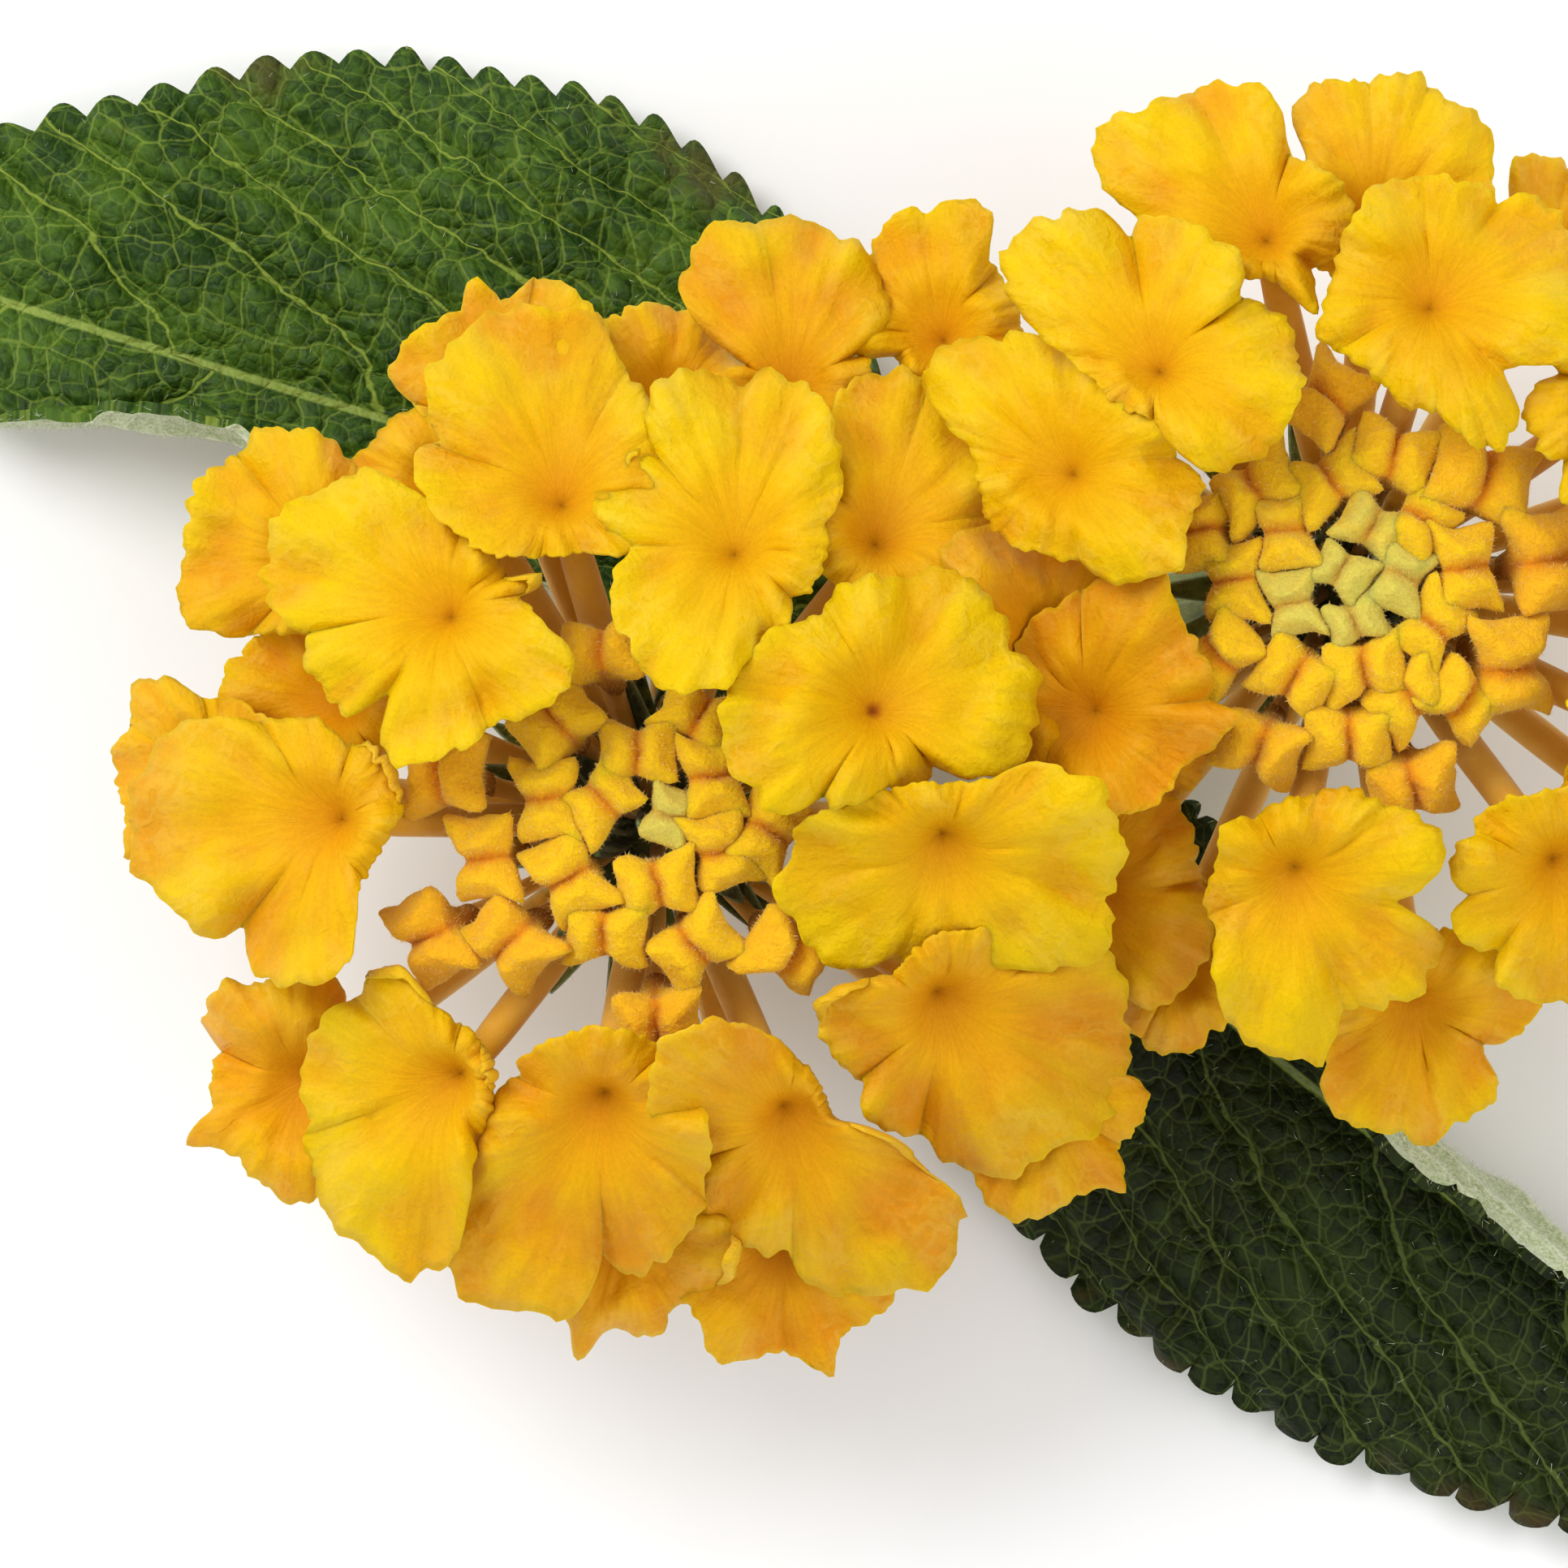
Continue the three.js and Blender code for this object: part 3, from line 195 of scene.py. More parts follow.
RIGHT_FLORETS = [
    dict(mouth=[-8.8, 3.5, 9.6], lean=[160, 28], tint=0.2, splits=[8, 85, 160, 283], outline=[
        0, 4.2,  5, 3.6,  10, 3.4,  20, 3.7,  35, 3.7,  60, 3.4,  85, 3.7,  105, 4.3,  120, 4.8,  132, 5.2,
        142, 5.4,  150, 4.9,  157, 4,  165, 2.9,  180, 2.5,  195, 2.6,  211, 2.8,  227, 2.7,  246, 2.7,
        262, 2.6,  272, 2.8,  282, 2.8,  288, 3.6,  300, 4.05,  314, 4.4,  326, 4.6,  332, 4.2,  339, 4.4,
        348, 4.4,
    ]),
    dict(mouth=[-6.0, 6.8, 11.0], lean=[125, 26], tint=0.15, splits=[37, 101, 176, 272], outline=[
        0, 4.3,  14, 4.3,  24, 4,  31, 3.8,  37, 3.3,  42, 3.7,  52, 4.3,  60, 4.35,  73, 4.4,  85, 4.5,
        97, 4.4,  101, 3.5,  105, 4.6,  111, 5.3,  119, 5.6,  127, 5.5,  137, 5.7,  146, 5.6,  154, 4.9,
        160, 4.2,  169, 3.3,  178, 2.5,  192, 2,  207, 1.8,  225, 1.7,  246, 1.7,  264, 1.7,  276, 2,
        284, 2.8,  293, 3.5,  300, 3.9,  315, 4.2,  327, 4.5,  338, 4.75,  348, 4.7,
    ]),
    dict(mouth=[-2.6, 10.9, 8.6], lean=[110, 26], tint=0.3, splits=[68, 117, 180, 325], outline=[
        0, 2.8,  20, 2.8,  40, 2.8,  58, 2.5,  68, 2.3,  76, 2.9,  80, 3.6,  84, 4.1,  89, 4.4,  98, 4.6,
        112, 4.9,  117, 4.6,  121, 5,  130, 5.3,  145, 5.7,  155, 5.65,  162, 5.4,  167, 4.6,  175, 3.9,
        190, 3.2,  210, 2.4,  230, 1.8,  250, 1.6,  270, 1.5,  286, 1.6,  296, 2.4,  302, 3.3,  308, 2.6,
        320, 1.9,  340, 2.4,
    ]),
    dict(mouth=[0.8, 11.2, 7.6], lean=[85, 24], tint=0.3, splits=[22, 90, 136, 250], outline=[
        0, 3.4,  14, 3.9,  22, 3.9,  27, 4.1,  35, 4.5,  42, 4.65,  52, 4.45,  65, 4.55,  75, 4.7,  82, 4.7,
        90, 4.45,  103, 4.4,  115, 4.5,  124, 4.25,  129, 3.9,  134, 2.8,  145, 3,  160, 3,  180, 2.8,
        200, 2.4,  230, 2.2,  270, 2.2,  300, 2.4,  330, 2.8,
    ]),
    dict(mouth=[2.6, 8.8, 10.4], lean=[75, 26], tint=0.25, splits=[55, 150, 210, 311], outline=[
        0, 4.8,  15, 4.7,  27, 4.6,  43, 4.55,  52, 4.2,  55, 3.4,  62, 3.75,  75, 3.75,  89, 3.9,
        102, 3.8,  117, 3.75,  131, 3.6,  150, 3.3,  168, 3.1,  180, 3.3,  190, 3.6,  199, 3.65,  206, 3.4,
        218, 3.2,  231, 3.1,  245, 3.2,  260, 3.4,  273, 3.6,  279, 4.1,  285, 4.7,  291, 5.05,  299, 5,
        307, 4.6,  311, 3.1,  318, 3.2,  325, 3.7,  335, 4.5,  348, 4.8,
    ]),
    dict(mouth=[-12.6, 7.8, 5.0], lean=[125, 24], tint=0.35, splits=[50, 140, 208, 300], outline=[
        0, 2.6,  30, 2.6,  44, 2.7,  55, 2.6,  60, 3.2,  64, 3.9,  72, 4.2,  87, 4.15,  95, 3.9,  104, 3.95,
        119, 3.6,  130, 3.2,  145, 3,  165, 3,  185, 2.9,  197, 2.5,  205, 1.6,  215, 1.4,  240, 2,
        280, 2.4,  330, 2.6,
    ]),
    dict(mouth=[-8.1, -4.0, 8.3], lean=[195, 26], tint=0.85, splits=[6, 90, 200, 322], outline=[
        0, 4.9,  6, 3.8,  12, 4.1,  25, 4,  38, 3.9,  50, 4.6,  60, 5,  74, 4.6,  90, 3.8,  110, 3.4,
        140, 3,  180, 2.8,  230, 2.8,  270, 3.2,  300, 3.4,  320, 3.5,  336, 3.5,  348, 4.2,  355, 4.8,
    ]),
    dict(mouth=[-6.9, -4.9, 6.4], lean=[200, 26], tint=0.9, splits=[60, 190, 310], outline=[
        0, 2.9,  20, 2.7,  45, 2.1,  120, 1.8,  220, 1.8,  290, 2,  315, 2.3,  340, 2.7,
    ]),
    dict(mouth=[-7.9, -9.5, 5.2], lean=[240, 30], tint=0.8, splits=[7, 110, 200, 284], outline=[
        0, 3.7,  7, 3.5,  28, 3.6,  42, 3.8,  60, 3.8,  80, 3.6,  110, 3,  150, 2.6,  200, 2.6,  250, 2.8,
        278, 2.9,  284, 2.4,  289, 3.6,  299, 4.1,  310, 4.2,  322, 4.2,  338, 4,  348, 3.9,
    ]),
    dict(mouth=[-1.7, -9.1, 9.4], lean=[262, 28], tint=0.25, splits=[120, 204, 291, 347], outline=[
        0, 4.4,  9, 4.7,  19, 4.7,  29, 4.3,  36, 3.7,  45, 3.5,  57, 3.3,  72, 2.9,  90, 2.5,  106, 2.35,
        122, 2.15,  130, 2.6,  140, 2.8,  152, 2.6,  171, 2.4,  185, 2.6,  194, 2.8,  204, 2.7,  215, 3,
        225, 3.5,  235, 4.1,  244, 4.6,  251, 5,  260, 5.3,  269, 5.6,  278, 5.8,  282, 5.3,  287, 4.8,
        292, 4.2,  299, 4.65,  309, 5,  319, 5.15,  329, 5,  338, 4.9,  343, 4.5,  347, 3.1,  352, 3.7,
    ]),
    dict(mouth=[6.6, -8.8, 8.4], lean=[310, 32], tint=0.35, lobes=[
        [176, 3.5, 17], [212, 3.8, 15], [255, 4.2, 19], [290, 4.2, 19], [140, 3.0, 18], [100, 2.5, 25],
        [45, 3.5, 28], [0, 4.2, 24],
    ]),
    dict(mouth=[2.1, -13.0, 4.8], lean=[278, 34], tint=0.5, splits=[100, 200, 329], outline=[
        0, 4,  10, 3.9,  25, 3.4,  45, 3,  70, 2.6,  100, 2.4,  140, 2.4,  180, 2.4,  200, 2.8,  216, 3.5,
        226, 3.9,  240, 4.1,  252, 4.05,  262, 4,  268, 4.15,  272, 4.4,  279, 4.3,  287, 3.95,  300, 3.95,
        310, 3.8,  319, 3.4,  326, 2.5,  333, 2.4,  338, 3.1,  347, 3.6,
    ]),
    dict(mouth=[-5.1, -11.5, 2.8], lean=[252, 34], tint=0.75, lobes=[
        [268, 3.0, 30], [228, 2.8, 22], [312, 2.5, 22], [60, 1.8, 50], [150, 1.8, 40],
    ]),
    dict(mouth=[8.8, 6.0, 9.0], lean=[35, 30], tint=0.3, lobes=[
        [60, 4.5, 26], [10, 4.8, 24], [315, 4.0, 24], [255, 4.2, 26], [200, 3.5, 22], [130, 3.8, 26],
    ]),
    dict(mouth=[10.6, 0.5, 8.6], lean=[0, 34], tint=0.3, lobes=[
        [85, 4.1, 26], [35, 4.2, 22], [345, 4.6, 24], [295, 4.0, 22], [240, 3.5, 24], [150, 3.0, 30],
    ]),
    dict(mouth=[9.5, -4.6, 8.4], lean=[335, 34], tint=0.35, lobes=[
        [70, 3.8, 24], [20, 4.4, 22], [330, 4.8, 24], [280, 4.1, 22], [225, 3.5, 22], [140, 3.0, 30],
    ]),
    dict(mouth=[6.1, 9.8, 4.8], lean=[52, 40], tint=0.5, lobes=[
        [95, 3.5, 20], [55, 3.8, 20], [10, 4.0, 20], [320, 3.0, 24], [180, 1.9, 50], [250, 1.9, 40],
    ]),
    dict(mouth=[12.2, 4.0, 4.8], lean=[20, 42], tint=0.5, lobes=[
        [75, 3.8, 22], [30, 3.5, 20], [345, 3.8, 22], [300, 3.0, 22], [180, 1.9, 50],
    ]),
    dict(mouth=[12.6, -2.0, 4.4], lean=[350, 42], tint=0.5, lobes=[
        [60, 3.8, 22], [10, 3.5, 20], [325, 3.8, 22], [275, 3.2, 22], [180, 1.9, 50],
    ]),
    dict(mouth=[10.4, -8.1, 4.2], lean=[322, 42], tint=0.5, lobes=[
        [30, 3.8, 22], [345, 3.5, 18], [305, 3.8, 22], [255, 3.2, 22], [150, 1.9, 50],
    ]),
]

# Closed buds: [x, y, azimuth across the crease, size].
LEFT_BUDS = [
    [-3.4, 0.6, 95, 1.0], [-1.7, 0.6, 40, 0.95], [-0.6, 2.1, 0, 1.0], [1.7, 1.3, 95, 1.0],
    [1.3, 3.2, 330, 1.0], [0.4, 0.1, 70, 0.72], [2.0, -0.9, 110, 1.0], [0.0, -2.0, 10, 1.0],
    [-2.7, -1.8, 300, 1.05], [-5.3, -1.2, 95, 1.05], [-1.6, -3.5, 0, 1.0], [1.2, -3.9, 40, 1.05],
    [-4.5, -3.8, 320, 1.1], [-7.0, -3.6, 300, 1.1], [-3.1, 3.0, 40, 1.05], [-1.7, 5.2, 0, 1.05],
    [-6.5, 1.3, 0, 1.1], [0.0, -6.2, 10, 1.05], [4.0, -4.0, 330, 1.15], [3.4, -0.4, 60, 1.0],
]
RIGHT_BUDS = [
    [-0.7, 5.7, 60, 1.1], [-2.8, 3.0, 30, 1.05], [-0.5, 3.2, 30, 1.0], [1.4, 4.0, 340, 1.05],
    [4.1, 3.3, 350, 1.3], [-1.9, 1.6, 100, 0.95], [0.8, 1.8, 330, 0.85], [2.2, 1.9, 50, 0.95],
    [-3.5, 0.1, 95, 1.0], [-1.7, -0.6, 100, 0.85], [-0.2, 0.4, 330, 0.75], [0.2, -1.1, 20, 0.75],
    [1.6, 0.2, 70, 0.9], [3.6, 0.5, 95, 1.05], [-3.9, -2.1, 40, 1.0], [-1.6, -2.8, 330, 1.0],
    [0.5, -2.6, 10, 1.0], [2.6, -1.3, 50, 0.95], [1.9, -3.5, 40, 1.0], [0.0, -4.7, 0, 1.05],
    [-2.7, -5.0, 340, 1.05], [2.0, -6.2, 10, 1.1], [3.5, -3.5, 320, 1.0], [5.0, -2.5, 100, 1.25],
    [6.2, 0.7, 100, 1.25], [-4.5, 1.6, 100, 1.0],
]

# Bracts under a head: [azimuth, length].
BRACTS = [[20, 4.6], [62, 5.2], [108, 4.8], [150, 5.4], [196, 4.6], [238, 5.8], [283, 5.6], [326, 5.0]]

# Heads: the middle in plan, three points that pull the stalk's arc, the radius within which the buds are
# still pale, and the places of the bract tips between the middle buds.
HEADS = {
    "left": {
        "middle": (-9.75, -4.0),
        "stalk": ((-1.9, -0.75, 5.7), (-7.8, -3.2, 6.2), (-9.75, -4.0, 9.4)),
        "florets": LEFT_FLORETS,
        "buds": LEFT_BUDS,
        "pale": 0.9,
        "tips": [(-0.5, -0.1), (-1.75, 1.1), (0.25, 1.6), (1.5, -0.25)],
    },
    "right": {
        "middle": (11.5, 3.25),
        "stalk": ((1.75, 0.55, 6.1), (9.2, 2.6, 6.2), (11.5, 3.25, 9.4)),
        "florets": RIGHT_FLORETS,
        "buds": RIGHT_BUDS,
        "pale": 1.9,
        "tips": [(-1.25, 1.5), (-0.25, 0.5), (-1.25, -1.25), (0.75, -1.25), (1.0, 0.75)],
    },
}

# Half width of a flattened leaf blade by share of its length.
HALF_WIDTH = [
    [0, 0.3], [0.07, 6.0], [0.18, 10.2], [0.36, 11.4],
    [0.56, 9.9], [0.8, 5.6], [0.93, 2.3], [1, 0.15],
]

# Leaves. A list of pairs runs along the midrib: [share of its length, value].
#   petiole, midrib: points of the stalk and of the middle line
#   open, rolled: share of the half width on the open and on the rolled side
#   drop: how far the open side sinks outwards; outline: its half width as seen from above
#   fold, lean: distance from the midrib where the rolled side turns up, and by how many degrees
#   vein_start: place of the first side vein on the rolled and on the open side
LEAVES = {
    "left": {
        "petiole": [[-1.45, 1.55, 5.0], [-2.0, 2.8, 4.9]],
        "midrib": [
            [-2.4, 3.9, 4.6], [-10.5, 6.3, 3.9], [-18.0, 8.4, 3.2],
            [-30.0, 12.1, 1.8], [-38.9, 14.9, 0.3],
        ],
        "drop": [[0, 8], [0.2, 19], [0.5, 15], [0.8, 9], [1, 2]],
        "rolled": 0.6,
        "fold": [[0, 3], [0.45, 1.9], [0.53, 1.0], [0.65, 1.7], [0.75, 2.5], [0.9, 4.0], [1, 4.5]],
        "open": 0.965,
        "lean": [[0, 82], [0.5, 84], [0.55, 95], [0.64, 95], [0.69, 84], [1, 70]],
        "outline": [
            [0, 0.3], [0.04, 4.4], [0.09, 6.9], [0.17, 9.1], [0.25, 10.6], [0.33, 11.3], [0.42, 11.1],
            [0.5, 10.75], [0.56, 10.2], [0.61, 9.3], [0.675, 7.7], [0.75, 6.1], [0.8, 4.8], [0.9, 2.5],
            [0.96, 1.1], [1, 0.15],
        ],
        "vein_start": (0.65, 2.4),
        "round_teeth": 0.0,
    },
    "right": {
        "petiole": [[1.35, -1.95, 5.0], [1.9, -2.9, 4.9]],
        "midrib": [
            [2.35, -3.9, 4.6], [5.2, -7.6, 3.9], [14.2, -15.2, 2.8],
            [23.0, -21.5, 1.5], [31.6, -26.4, 0.3],
        ],
        "drop": [[0, 8], [0.2, 19], [0.5, 13], [0.8, 7], [1, 2]],
        "rolled": 0.62,
        "fold": [[0, 3.2], [0.22, 2.0], [0.35, 0.3], [0.6, 0.2], [0.8, 0.6], [0.92, 1.6], [1, 3]],
        "open": 0.83,
        "lean": [[0, 84], [0.3, 88], [0.42, 97], [0.75, 97], [0.9, 88], [1, 70]],
        "outline": [
            [0, 0.3], [0.04, 4.2], [0.09, 6.4], [0.17, 8.3], [0.27, 9.2], [0.36, 9.2], [0.46, 8.7],
            [0.56, 7.8], [0.68, 6.2], [0.8, 4.3], [0.9, 2.4], [0.96, 1.1], [1, 0.15],
        ],
        "vein_start": (2.65, 0.6),
        "round_teeth": 1.0,
    },
}

REST = 0.06 * MM  # whatever would sink under the surface is eased back to less than this over it
LEAF_NODE = (0, 0, 4.3)  # middle of the swollen node that carries the leaves and the flower stalks
STEM_PATH = [(11.6, 3.3, 1.43), (6.6, 2.2, 1.5), (3.0, 1.0, 2.7), LEAF_NODE]  # from the cut end

TOOTH_PITCH = 1.42  # along the margin of a leaf
TOOTH_HEIGHT = 0.62
POINTS_PER_TOOTH = 9
BEND = 1.7  # arc over which the rolled half of a leaf turns up
OPEN_RISE, OPEN_BEND = 10, 2.4  # degrees that the open half starts with, and loses for its drop
ROLLED_RISE = 6  # degrees that the rolled half starts with
VEIN_KNEE = 4.1  # distance from the midrib where a side vein stops bending forward
VEIN_SLOPE = 3.2  # how far it then runs forward for one step outwards
RIB_DEPTH = 0.32  # how far the midrib stands out under a leaf


# ---- plain helpers ----


def along(stations, x):
    """Value at x of a line through given [x, value] stations, eased between them."""
    stations = np.array(stations, float)
    x = np.asarray(x, float)
    i = np.clip(np.searchsorted(stations[:, 0], x) - 1, 0, len(stations) - 2)
    t = np.clip((x - stations[i, 0]) / (stations[i + 1, 0] - stations[i, 0]), 0, 1)
    return stations[i, 1] + (stations[i + 1, 1] - stations[i, 1]) * t * t * (3 - 2 * t)


def eased(low, high, x):
    """0 below low, 1 above high and smooth between them."""
    t = np.clip((np.asarray(x, float) - low) / (high - low), 0, 1)
    return t * t * (3 - 2 * t)


def to_frame(points):
    """Moves plan positions from the leaf node to the middle of the part, and makes them metres."""
    return (np.asarray(points, float) - (BOX_MIDDLE[0], BOX_MIDDLE[1], 0)) * MM


def piece_of(name, points, faces, values=None, scale=True):
    """A mesh object from points, rows of faces and named values of its points."""
    mesh = bpy.data.meshes.new(name)
    points = to_frame(points) if scale else np.asarray(points, float) * MM
    rows = [row for block in faces for row in np.asarray(block).tolist()]
    mesh.from_pydata(points.tolist(), [], rows)
    give_values(mesh, values or {})
    mesh.shade_smooth()
    if values and "under" in values:  # the thin rim between the two faces keeps a crisp edge
        under = values["under"]
        mesh.polygons.foreach_set("use_smooth", [len({under[i] for i in row}) == 1 for row in rows])
    return placed(name, mesh)


def placed(name, data):
    """Puts a new object with this data in the scene."""
    item = bpy.data.objects.new(name, data)
    bpy.context.scene.collection.objects.link(item)
    return item


def give_values(mesh, values):
    """Stores numbers or vectors on the points of a mesh under their names."""
    for label, data in values.items():
        data = np.asarray(data, np.float32)
        kind, field = ("FLOAT_VECTOR", "vector") if data.ndim == 2 else ("FLOAT", "value")
        mesh.attributes.new(label, kind, "POINT").data.foreach_set(field, data.ravel())


def joined(blocks):
    """Puts blocks of (points, faces, values) together as one."""
    points, faces, values, start = [], [], {}, 0
    for block_points, block_faces, block_values in blocks:
        points.append(block_points)
        faces.extend(np.asarray(rows) + start for rows in block_faces)
        for label, data in block_values.items():
            values.setdefault(label, []).append(data)
        start += len(block_points)
    return np.concatenate(points), faces, {label: np.concatenate(v) for label, v in values.items()}


def grid_normals(grid, closed):
    """Unit normals of a grid of points whose rows run outwards and columns run round."""
    if closed:
        round_it = np.roll(grid, -1, 1) - np.roll(grid, 1, 1)
    else:
        round_it = np.gradient(grid, axis=1)
    normals = np.cross(np.gradient(grid, axis=0), round_it)
    return normals / np.maximum(np.linalg.norm(normals, axis=2, keepdims=True), 1e-9)


def quads(rows, columns, closed, start=0, flip=False):
    """Faces of a grid of points numbered row by row."""
    last = columns if closed else columns - 1
    r, c = np.meshgrid(np.arange(rows - 1), np.arange(last), indexing="ij")
    n = (c + 1) % columns
    faces = np.stack([r * columns + c, (r + 1) * columns + c, (r + 1) * columns + n, r * columns + n], -1)
    faces = faces.reshape(-1, 4) + start
    return faces[:, ::-1] if flip else faces


def capped(rings, sides, flip=False):
    """Faces of rings that close on two more points, one before the first ring and one after the last."""
    total = rings * sides
    k = np.arange(sides)
    n = (k + 1) % sides
    first, second = (n, k) if flip else (k, n)
    last = total - sides
    return [
        quads(rings, sides, True, 0, flip),
        np.stack([np.full(sides, total), first, second], -1),
        np.stack([np.full(sides, total + 1), last + second, last + first], -1),
    ]


def sheet(rows, columns):
    """Faces of a thin sheet: a grid above, the same grid below and the rim between them."""
    size = rows * columns
    r = np.arange(rows - 1)
    k = np.arange(columns - 1)
    first, last = r * columns, r * columns + columns - 1
    end = (rows - 1) * columns
    return [
        quads(rows, columns, False),
        quads(rows, columns, False, size, True),
        np.stack([first, first + size, first + columns + size, first + columns], -1),
        np.stack([last + columns, last + columns + size, last + size, last], -1),
        np.stack([k + 1, k + 1 + size, k + size, k], -1),
        np.stack([end + k, end + k + size, end + k + 1 + size, end + k + 1], -1),
    ]


def bezier(start, middle, end, count):
    """Points on the arc that three points pull."""
    t = np.linspace(0, 1, count)[:, None]
    start, middle, end = (np.array(p, float) for p in (start, middle, end))
    return (1 - t) ** 2 * start + 2 * t * (1 - t) * middle + t * t * end


def smooth_line(points, count):
    """Evenly spaced points on a smooth line through given points, and its length."""
    p = np.array(points, float)
    p = np.vstack([2 * p[0] - p[1], p, 2 * p[-1] - p[-2]])
    knots = np.concatenate([[0], np.cumsum(np.sqrt(np.linalg.norm(np.diff(p, axis=0), axis=1)))])

    def blend(first, second, low, high, t):
        return ((high - t) * first + (t - low) * second) / (high - low)

    fine = []
    for i in range(1, len(p) - 2):
        k0, k1, k2, k3 = knots[i - 1:i + 3]
        t = np.linspace(k1, k2, 60)[:, None]
        a1 = blend(p[i - 1], p[i], k0, k1, t)
        a2 = blend(p[i], p[i + 1], k1, k2, t)
        a3 = blend(p[i + 1], p[i + 2], k2, k3, t)
        fine.append(blend(blend(a1, a2, k0, k2, t), blend(a2, a3, k1, k3, t), k1, k2, t))
    fine = np.vstack(fine)
    lengths = np.concatenate([[0], np.cumsum(np.linalg.norm(np.diff(fine, axis=0), axis=1))])
    wanted = np.linspace(0, lengths[-1], count)
    return np.stack([np.interp(wanted, lengths, fine[:, k]) for k in range(3)], -1), lengths[-1]


# ---- node helpers ----


def add(tree, kind, inputs=None, **settings):
    """Adds one node, sets it and wires it: an input's value is a socket or a plain value."""
    node = tree.nodes.new(kind)
    for key, value in settings.items():
        setattr(node, key, value)
    for key, value in (inputs or {}).items():
        if isinstance(value, bpy.types.NodeSocket):
            tree.links.new(value, node.inputs[key])
        else:
            node.inputs[key].default_value = value
    return node


def made(tree, kind, inputs=None, **settings):
    """Adds one node and returns its first output."""
    return add(tree, kind, inputs, **settings).outputs[0]


def math_of(tree, operation, a, b=0.0, c=0.0, clamp=False):
    """The result of one sum."""
    return made(tree, "ShaderNodeMath", {0: a, 1: b, 2: c}, operation=operation, use_clamp=clamp)


def times(tree, a, b):
    """Two values multiplied."""
    return math_of(tree, "MULTIPLY", a, b)


def plus(tree, value, share, base, clamp=False):
    """A share of a value on top of a base."""
    return math_of(tree, "MULTIPLY_ADD", value, share, base, clamp)


def swayed(tree, mask, amount, base, clamp=False):
    """A base moved up and down by a mask that lies about 0.5."""
    return plus(tree, math_of(tree, "SUBTRACT", mask, 0.5), amount, base, clamp)


def step_of(tree, value, low, high, out_low=0.0, out_high=1.0):
    """A smooth step of a value from low to high."""
    values = {"Value": value, "From Min": low, "From Max": high, "To Min": out_low, "To Max": out_high}
    return made(tree, "ShaderNodeMapRange", values, interpolation_type="SMOOTHSTEP")


def mixed(tree, share, first, second, mode="MIX"):
    """A blend of two colours, each a socket or three plain numbers."""
    sides = [side if isinstance(side, bpy.types.NodeSocket) else (*side, 1.0) for side in (first, second)]
    values = {0: share, 6: sides[0], 7: sides[1]}
    return add(tree, "ShaderNodeMix", values, data_type="RGBA", blend_type=mode).outputs[2]


def over(tree, base, colour, share, less=None):
    """A colour laid over a base by a share, or by the product of two."""
    return mixed(tree, share if less is None else times(tree, share, less), base, colour)


def shaded(tree, base, tone):
    """A colour made darker or lighter by a tone about 1."""
    return mixed(tree, 1.0, base, vector_of(tree, tone, tone, tone), "MULTIPLY")


def attribute(tree, label):
    """A value stored on the points, as a vector and as a number."""
    node = add(tree, "ShaderNodeAttribute", attribute_name=label)
    return node.outputs["Vector"], node.outputs["Fac"]


def split(tree, vector):
    """The three parts of a vector."""
    return add(tree, "ShaderNodeSeparateXYZ", {0: vector}).outputs[:3]


def vector_of(tree, x, y, z):
    """A vector of three parts."""
    return made(tree, "ShaderNodeCombineXYZ", {0: x, 1: y, 2: z})


def noise(tree, vector, scale, detail=3.0, roughness=0.5, twist=0.0):
    """Soft noise about 0.5."""
    values = {"Vector": vector, "Scale": scale, "Detail": detail, "Roughness": roughness, "Distortion": twist}
    return made(tree, "ShaderNodeTexNoise", values)


def bumped(tree, height, depth):
    """The normal of a face with a height on it."""
    return made(tree, "ShaderNodeBump", {"Height": height, "Distance": depth * MM, "Strength": 1.0})


def sockets(tree, ins, outs):
    """Names a group's sockets and returns its input and output nodes."""
    for label, kind, value in ins:
        socket = tree.interface.new_socket(label, in_out="INPUT", socket_type="NodeSocket" + kind)
        if value is not None:
            socket.default_value = value
    for label, kind in outs:
        tree.interface.new_socket(label, in_out="OUTPUT", socket_type="NodeSocket" + kind)
    return tree.nodes.new("NodeGroupInput").outputs, tree.nodes.new("NodeGroupOutput")


def grouped(tree, name, inputs):
    """Places a shared node group in a material, and fills it the first time."""
    group = bpy.data.node_groups.get(name)
    if group is None:
        group = bpy.data.node_groups.new(name, "ShaderNodeTree")
        SHARED[name](group)
    return add(tree, "ShaderNodeGroup", inputs, node_tree=group).outputs


def object_place(tree):
    """Object coordinates, in metres."""
    return add(tree, "ShaderNodeTexCoord").outputs["Object"]


def finish_of(name, build, subsurface=0.0, depth=0.5, tint=(1.0, 0.5, 0.2), **values):
    """A material: build(tree) gives sockets for some inputs of its shader; the rest are plain values."""
    material = bpy.data.materials.get(name)
    if material is not None:
        return material
    material = bpy.data.materials.new(name)
    material.use_nodes = True
    tree = material.node_tree
    tree.nodes.clear()
    shader = tree.nodes.new("ShaderNodeBsdfPrincipled")
    output = tree.nodes.new("ShaderNodeOutputMaterial")
    tree.links.new(shader.outputs[0], output.inputs["Surface"])
    for key, socket in build(tree).items():
        tree.links.new(socket, shader.inputs[key])
    for key, value in values.items():
        shader.inputs[key.replace("_", " ")].default_value = value
    if subsurface:
        shader.inputs["Subsurface Weight"].default_value = subsurface
        shader.inputs["Subsurface Scale"].default_value = depth * MM
        shader.inputs["Subsurface Radius"].default_value = tint
    return material


# ---- shared shader groups ----


